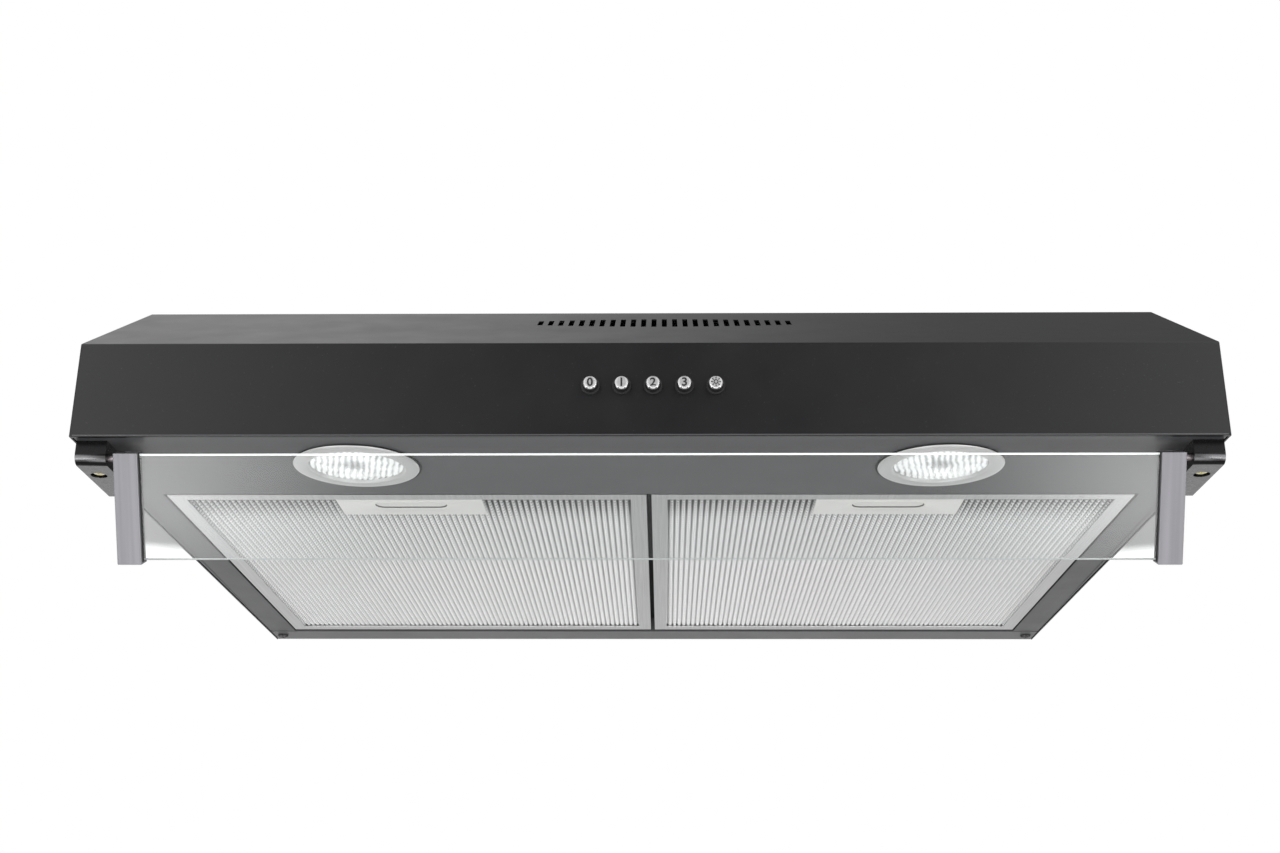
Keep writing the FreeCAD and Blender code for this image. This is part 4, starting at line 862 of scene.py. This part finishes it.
def make_lens(side, centre, opening, glass):
    """A shallow glass dome whose back half is ribbed."""
    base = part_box("lamp_lens_" + side)[0].z + LENS_FACE
    radius = opening - LENS_GAP
    verts, faces = [], []
    for back in (0, 1):
        for r in range(LENS_RINGS + 1):
            for k in range(LENS_SEGMENTS):
                angle = 2 * math.pi * k / LENS_SEGMENTS
                x = radius * r / LENS_RINGS * math.cos(angle)
                y = radius * r / LENS_RINGS * math.sin(angle)
                dome = LENS_DOME * (1 - (r / LENS_RINGS) ** 2)
                rib = 0.0
                if not back and r < LENS_RINGS - 1:
                    strength = smooth((y - RIB_START) / RIB_GROWTH) * smooth((LENS_RINGS - r) / 3)
                    across = x * math.cos(RIB_SPLAY) + inwards(side) * y * math.sin(RIB_SPLAY)
                    rib = RIB_RISE * strength * math.cos(2 * math.pi * across / RIB_PITCH)
                z = base - dome + rib + (LENS_THICK if back else 0.0)
                verts.append((centre.x + x, centre.y + y, z))
    layer = (LENS_RINGS + 1) * LENS_SEGMENTS
    for r in range(LENS_RINGS):
        for k in range(LENS_SEGMENTS):
            a = r * LENS_SEGMENTS + k
            b = r * LENS_SEGMENTS + (k + 1) % LENS_SEGMENTS
            faces.append((a, a + LENS_SEGMENTS, b + LENS_SEGMENTS, b))
            faces.append((layer + a, layer + b, layer + b + LENS_SEGMENTS, layer + a + LENS_SEGMENTS))
    rim = LENS_RINGS * LENS_SEGMENTS
    for k in range(LENS_SEGMENTS):
        after = (k + 1) % LENS_SEGMENTS
        faces.append((rim + k, layer + rim + k, layer + rim + after, rim + after))
    lens = piece("lamp_pane_" + side, verts, faces, "canopy", "lens", ["lamp_lens_" + side], [glass],
                 smooth=True)
    facing_out(lens, 0.001 * MM)
    creased(lens, 50)


def make_bowl(side, centre, mirror):
    """The faceted reflector behind the lens."""
    low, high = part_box("lamp_reflector_" + side)
    widest = (high.x - low.x) / 2
    depth = high.z - low.z
    count = BOWL_FACETS
    verts, faces = [], []
    for back in (0, 1):
        for r in range(BOWL_LEVELS + 1):
            t = r / BOWL_LEVELS
            radius = BOWL_NECK + (widest - BOWL_NECK - (0 if back else BOWL_THICK)) * t
            height = high.z - depth * t ** BOWL_CURVE - (0 if back else BOWL_THICK * (1 - t))
            for k in range(count):
                angle = 2 * math.pi * (k + (0.5 if r % 2 else 0.0)) / count
                x, y = radius * math.cos(angle), radius * math.sin(angle)
                verts.append((centre.x + x, centre.y + y, height))
    layer = (BOWL_LEVELS + 1) * count
    for r in range(BOWL_LEVELS):
        for k in range(count):
            a, b = r * count + k, r * count + (k + 1) % count
            c, d = a + count, b + count
            pair = ((a, b, c), (b, d, c)) if r % 2 == 0 else ((a, b, d), (a, d, c))
            faces.extend(pair)
            faces.extend(tuple(layer + i for i in reversed(face)) for face in pair)
    rim = BOWL_LEVELS * count
    for k in range(count):
        after = (k + 1) % count
        faces.append((k, layer + k, layer + after, after))
        faces.append((rim + k, rim + after, layer + rim + after, layer + rim + k))
    bowl = piece("lamp_bowl_" + side, verts, faces, "canopy", "reflector", ["lamp_reflector_" + side],
                 [mirror])
    facing_out(bowl)


def make_chip(side, centre, glow):
    """The dark cup that holds the LED in the reflector's neck."""
    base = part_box("lamp_led_" + side)[0].z
    profile = [(r * MM, base + h * MM) for r, h in CHIP_PROFILE]
    chip = piece("lamp_chip_" + side, *revolved(profile, centre, 2, CHIP_STEPS), "canopy", "lens", [], [glow],
                 smooth=True)
    facing_out(chip)
    creased(chip, 40)


def make_lamp(side, trim_metal, shadow_ring, mirror, glow):
    trim_low, trim_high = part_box("lamp_trim_" + side)
    lens_low, lens_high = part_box("lamp_lens_" + side)
    centre = Vector(((trim_low.x + trim_high.x) / 2, (trim_low.y + trim_high.y) / 2, 0))
    opening = (lens_high.x - lens_low.x) / 2
    socket = ((lens_low.x + lens_high.x) / 2, (lens_low.y + lens_high.y) / 2 - SOCKET_AHEAD, lens_low.z)
    glass = lens_material("lens_glass_" + side, (0.93, 0.94, 0.94), -inwards(side) * RIB_SPLAY, socket)
    make_lamp_ring(side, centre, opening, trim_metal, shadow_ring)
    make_lens(side, centre, opening, glass)
    make_bowl(side, centre, mirror)
    make_chip(side, centre, glow)


# ---------------------------------------------------------------- buttons

CAP_RADIUS = 3.9 * MM
CAP_BACK = 7.0 * MM
CAP_STEPS = 64
# The cap's section in millimetres: radius, and how far it lies behind the crown.
CAP_PROFILE = ((0.0, 0.0), (1.0, 0.005), (2.0, 0.02), (2.6, 0.06), (3.0, 0.18), (3.3, 0.42), (3.6, 0.85),
               (3.8, 1.4), (3.9, 2.2))
# The lip's section in millimetres: distance from its inner edge, and how far it stands before the panel.
LIP_PROFILE = ((0.0, 0.25), (0.3, 0.4), (0.6, 0.2), (0.6, -0.3), (0.0, -0.3))
DIGIT_SIZE = 6.4 * MM
DIGIT_BOLD = 0.16 * MM
BULB_RADII = (0.75 * MM, 1.25 * MM)
RAY_REACH = (1.6 * MM, 2.7 * MM)
RAY_HALF = 0.24 * MM
SATIN_RADIUS = 3.35 * MM
LIP_IN = 4.15 * MM
MARK_RISE = 0.05 * MM


def cap_face(distance):
    """How far the cap's face lies behind its crown at a distance from its axis."""
    for (r0, y0), (r1, y1) in zip(CAP_PROFILE, CAP_PROFILE[1:]):
        if distance <= r1 * MM:
            t = (distance / MM - r0) / (r1 - r0)
            return (y0 + (y1 - y0) * t) * MM
    return CAP_PROFILE[-1][1] * MM


def text_outline(text):
    """A digit's flat outline about its middle, as points and faces."""
    curve = bpy.data.curves.new("digit", "FONT")
    curve.body = text
    curve.size = DIGIT_SIZE
    curve.align_x = "CENTER"
    curve.align_y = "CENTER"
    curve.offset = DIGIT_BOLD
    curve.resolution_u = 6
    holder = bpy.data.objects.new("digit", curve)
    mesh = bpy.data.meshes.new_from_object(holder)
    verts = [(v.co.x, v.co.y) for v in mesh.vertices]
    faces = [tuple(p.vertices) for p in mesh.polygons]
    middle_x = (min(v[0] for v in verts) + max(v[0] for v in verts)) / 2
    middle_y = (min(v[1] for v in verts) + max(v[1] for v in verts)) / 2
    bpy.data.objects.remove(holder)
    bpy.data.curves.remove(curve)
    bpy.data.meshes.remove(mesh)
    return [(x - middle_x, y - middle_y) for x, y in verts], faces


def light_outline():
    """A lamp sign: a round bulb with short rays."""
    verts, faces = [], []
    inner, outer = BULB_RADII
    count = 28
    for k in range(count):
        angle = 2 * math.pi * k / count
        verts.append((inner * math.cos(angle), inner * math.sin(angle)))
        verts.append((outer * math.cos(angle), outer * math.sin(angle)))
    for k in range(count):
        a, b = 2 * k, 2 * ((k + 1) % count)
        faces.append((a, a + 1, b + 1, b))
    for k in range(8):
        angle = 2 * math.pi * k / 8
        ahead = Vector((math.cos(angle), math.sin(angle)))
        beside = Vector((-ahead.y, ahead.x)) * RAY_HALF
        start = len(verts)
        for distance in RAY_REACH:
            for side in (-1, 1):
                point = ahead * distance + beside * side
                verts.append((point.x, point.y))
        faces.append((start, start + 2, start + 3, start + 1))
    return verts, faces


def raised(outline, faces, centre, crown):
    """A thin solid that follows the cap's face."""
    verts = []
    for lift in (MARK_RISE, -2 * MARK_RISE):
        for x, z in outline:
            depth = cap_face(math.hypot(x, z)) - lift
            verts.append((centre.x + x, crown + depth, centre.z + z))
    count = len(outline)
    solid = list(faces) + [tuple(count + k for k in reversed(face)) for face in faces]
    edges = {}
    for face in faces:
        for a, b in zip(face, face[1:] + face[:1]):
            edges[a, b] = True
    solid += [(b, a, a + count, b + count) for a, b in edges if (b, a) not in edges]
    return verts, solid


def cap_finish(near, far):
    """The material slot of the cap's band between two radii: satin face, chrome edge, black side."""
    if far <= SATIN_RADIUS:
        return 1
    return 2 if near >= CAP_RADIUS - 0.1 * MM else 0


def make_buttons(chrome, satin, side_black, lip_paint, ink):
    marks = [text_outline(t) for t in "0123"] + [light_outline()]
    for i, (outline, faces) in enumerate(marks):
        node = "button_%d" % i
        low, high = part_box(node)
        centre = Vector(((low.x + high.x) / 2, 0, (low.z + high.z) / 2))
        crown = low.y + MARK_RISE
        profile = [(r * MM, crown + y * MM) for r, y in CAP_PROFILE]
        profile += [(CAP_RADIUS, crown + CAP_BACK), (0.0, crown + CAP_BACK)]
        bands = [cap_finish(near[0], far[0]) for near, far in zip(profile, profile[1:])]
        slots = [slot for slot in bands for _ in range(CAP_STEPS)]
        cap = piece("button_cap_%d" % i, *revolved(profile, centre, 1, CAP_STEPS), node, "chrome_button",
                    [node], [chrome, satin, side_black], smooth=True, face_slots=slots)
        facing_out(cap)
        creased(cap, 50)
        lip = [(LIP_IN + r * MM, FRONT - y * MM) for r, y in LIP_PROFILE]
        collar = piece("button_lip_%d" % i, *revolved(lip, centre, 1, CAP_STEPS), "canopy", "black_paint", [],
                       [lip_paint], smooth=True)
        facing_out(collar)
        mark = piece("button_mark_%d" % i, *raised(outline, faces, centre, crown), node, "black_plastic",
                     [], [ink])
        facing_out(mark)


# ---------------------------------------------------------------- visor pane

PANE_ARRIS = 0.5 * MM
PANE_THICK = 4.0 * MM
LEAN = math.radians(27.4)


def make_pane(glass, edge, top_edge):
    """The pane with ground edges. Its faces and its edges are separate materials."""
    low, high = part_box("visor_glass")
    down = Vector((0, math.sin(LEAN), -math.cos(LEAN)))
    ahead = Vector((0, -math.cos(LEAN), -math.sin(LEAN)))
    thick = PANE_THICK
    tall = ((high.z - low.z) - thick * math.sin(LEAN)) / math.cos(LEAN)
    top_back = Vector((0, low.y + thick * math.cos(LEAN), high.z))
    arris = PANE_ARRIS
    section = [(0.0, arris), (arris, 0.0), (tall - arris, 0.0), (tall, arris),
               (tall, thick - arris), (tall - arris, thick), (arris, thick), (0.0, thick - arris)]
    verts = []
    stations = ((low.x, arris), (low.x + arris, 0.0), (high.x - arris, 0.0), (high.x, arris))
    for x, trim in stations:
        for along, across in section:
            along = min(max(along, trim), tall - trim)
            across = min(max(across, trim), thick - trim)
            point = top_back + down * along + ahead * across
            verts.append((x, point.y, point.z))
    faces, slots = [], []
    count = len(section)
    for k in range(3):
        for i in range(count):
            j = (i + 1) % count
            faces.append((k * count + i, k * count + j, (k + 1) * count + j, (k + 1) * count + i))
            slots.append(0 if k == 1 and i in (1, 5) else 2 if i in (0, 6, 7) else 1)
    faces.append(tuple(range(count)))
    faces.append(tuple(3 * count + i for i in reversed(range(count))))
    slots.extend((1, 1))
    pane = piece("visor_pane", verts, faces, "visor", "pane", ["visor_glass"], [glass, edge, top_edge],
                 face_slots=slots)
    facing_out(pane)
    pane.visible_shadow = False


# ---------------------------------------------------------------- panel hem

HEM_RADIUS = 0.45 * MM
HEM_END = 1.5 * MM
HEM_STEPS = 16
HEM_BEHIND = 0.25 * MM
HEM_ABOVE = 0.8 * MM


def make_hem(material):
    """The folded lower edge of the front panel: a slim half-round lip from side to side, in a lighter paint
    than the panel for a painted highlight along the fold.
    """
    steps = HEM_STEPS
    centre_y, centre_z = FRONT + HEM_BEHIND, UNDERSIDE + HEM_ABOVE
    verts = []
    for x in (BODY_LOW.x + HEM_END, BODY_HIGH.x - HEM_END):
        for k in range(steps):
            turn = 2 * math.pi * k / steps
            verts.append((x, centre_y + HEM_RADIUS * math.cos(turn), centre_z + HEM_RADIUS * math.sin(turn)))
    faces = [(k, (k + 1) % steps, steps + (k + 1) % steps, steps + k) for k in range(steps)]
    faces += [tuple(range(steps)), tuple(reversed(range(steps, 2 * steps)))]
    hem = piece("panel_hem", verts, faces, "canopy", "black_paint", [], [material], smooth=True)
    facing_out(hem)
    creased(hem, 40)


# ---------------------------------------------------------------- dressing the CAD nodes

def dress_cad_nodes():
    black = paint_material("black_paint", (0.0048, 0.0048, 0.0056), 0.34)
    # A lighter copy of the canopy's black paint on the same finish: painted light from below.
    under = paint_material("underside_paint", (0.040, 0.041, 0.043), 0.36)
    dress(["canopy_shell"], black)
    dress(both("hinge_bracket_*"), bracket_material("bracket_painted_highlight", 0.26))
    dress(["centre_bar"], plastic_material("bar_paint", (0.006, 0.006, 0.006), 0.7))
    dress(["underside_frame"], under)
    dress(["rear_rail"], paint_material("rail_paint", (0.075, 0.076, 0.078), 0.36))
    dress(["back_panel", "switch_bracket", "motor_plate", "recirculation_duct"],
          spangle_material("zinc_sheet", (0.62, 0.63, 0.65), 0.38))
    dress(both("visor_arm_*"), arm_material("arm_grey", (0.198, 0.195, 0.209), 0.40))
    dress(both("filter_*_frame") + both("filter_*_latch_case"),
          brushed_material("filter_foil", (0.80, 0.80, 0.80), 0.34, 1))
    dress(["visor_pins"], brushed_material("pin_steel", (0.30, 0.27, 0.28), 0.4, 0))
    dress(["motor_stator", "housing_screws", "motor_rotor"],
          brushed_material("steel", (0.55, 0.55, 0.56), 0.33, 0))
    dress(["switch_springs"] + both("filter_*_latch_springs"),
          brushed_material("spring_wire", (0.5, 0.5, 0.5), 0.3, 1))
    dress(["motor_bearings"], brushed_material("bronze", (0.62, 0.44, 0.24), 0.4, 2))
    dress(["bracket_screws"], brushed_material("yellow_zinc", (0.95, 0.88, 0.60), 0.42, 0, 0.55))
    dress(["rail_screws"], paint_material("black_zinc", (0.02, 0.02, 0.02), 0.3))
    dress(["button_guide", "switch_block", "cable_gland", "duct_collar"] + both("damper_flap_*"),
          plastic_material("black_plastic", (0.016, 0.016, 0.017), 0.45))
    dress(["fan_housing_lower", "fan_housing_upper", "diverter_flap"],
          plastic_material("housing_plastic", (0.05, 0.05, 0.052), 0.5))
    dress(["impeller", "electrics_box", "capacitor", "diverter_lever"] + both("lamp_led_*"),
          plastic_material("white_plastic", (0.72, 0.72, 0.70), 0.4))
    dress(["visor_gaskets", "motor_mounts"], plastic_material("rubber", (0.012, 0.012, 0.012), 0.6))
    dress(["wiring_loom"], plastic_material("wire_sheath", (0.2, 0.2, 0.21), 0.45))
    for node in ["canopy_shell", "rear_rail", "underside_frame"]:
        softened(node, SHEET_EDGE, 2)
    for node in both("visor_arm_*") + both("hinge_bracket_*"):
        softened(node, BAR_EDGE, 3)


def new_pieces():
    mesh_low, mesh_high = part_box("filter_left_mesh")
    # The second colour is the painted shade for the hollows of the mesh.
    foil = mesh_material("mesh_foil", (0.97, 0.97, 0.97), (0.10, 0.10, 0.10), mesh_low.z + FACE_GAP,
                         RIDGE_RISE + STRAND_THICK, mesh_low.y, mesh_high.y)
    rim = brushed_material("rim_foil", (0.80, 0.80, 0.80), 0.34, 1, 0.6, contrast=0.05)
    # The folded layers behind the face take a dark copy of the foil: painted shade inside the filter.
    core = brushed_material("shaded_core_foil", (0.20, 0.20, 0.20), 0.45, 0, 0.7)
    handle = brushed_material("handle_plate", (0.74, 0.735, 0.71), 0.42, 0, 0.35, contrast=0.04)
    # A dark copy of the plate's metal for the pocket's wall: painted shade.
    pocket_wall_shade = brushed_material("pocket_wall_shade", (0.10, 0.10, 0.095), 0.5, 0, 0.3)
    trim = brushed_material("lamp_trim", (0.52, 0.52, 0.515), 0.36, 0, 0.45, contrast=0.04)
    # Black ring under each lamp trim: painted shadow.
    shadow_ring = plastic_material("lamp_shadow_ring", (0.008, 0.008, 0.008), 0.6)
    mirror = reflector_material("reflector", (0.92, 0.93, 0.93), 0.14, 0.05)
    glow = plastic_material("led_lens", (0.09, 0.09, 0.095), 0.3)
    chrome = chrome_material("chrome", (0.86, 0.86, 0.87), 0.06)
    ink = plastic_material("ink", (0.01, 0.01, 0.01), 0.5)
    pane = glass_material("pane_glass", (0.970, 0.987, 0.984))
    edge = ground_edge_material("pane_edge", (0.62, 0.66, 0.65), 0.05)
    # The top edge is a lighter copy of the ground edge with a far stronger glow: painted light along the
    # pane's top.
    top_edge = ground_edge_material("pane_top_edge", (0.94, 0.98, 0.97), 0.80)
    for side in ("left", "right"):
        make_filter_mesh(side, foil, core, rim)
        make_handle(side, handle, pocket_wall_shade)
        make_lamp(side, trim, shadow_ring, mirror, glow)
    satin = brushed_material("cap_face", (0.46, 0.46, 0.46), 0.36, 2, 0.45, contrast=0.05)
    lip = paint_material("lip_paint", (0.055, 0.055, 0.058), 0.32)
    cap_side = plastic_material("cap_side", (0.006, 0.006, 0.006), 0.5)
    make_buttons(chrome, satin, cap_side, lip, ink)
    # The hem takes the lighter lip paint instead of the panel's black: a painted highlight along the panel's
    # foot.
    make_hem(lip)
    make_pane(pane, edge, top_edge)


make_camera()
make_studio()
dress_cad_nodes()
new_pieces()
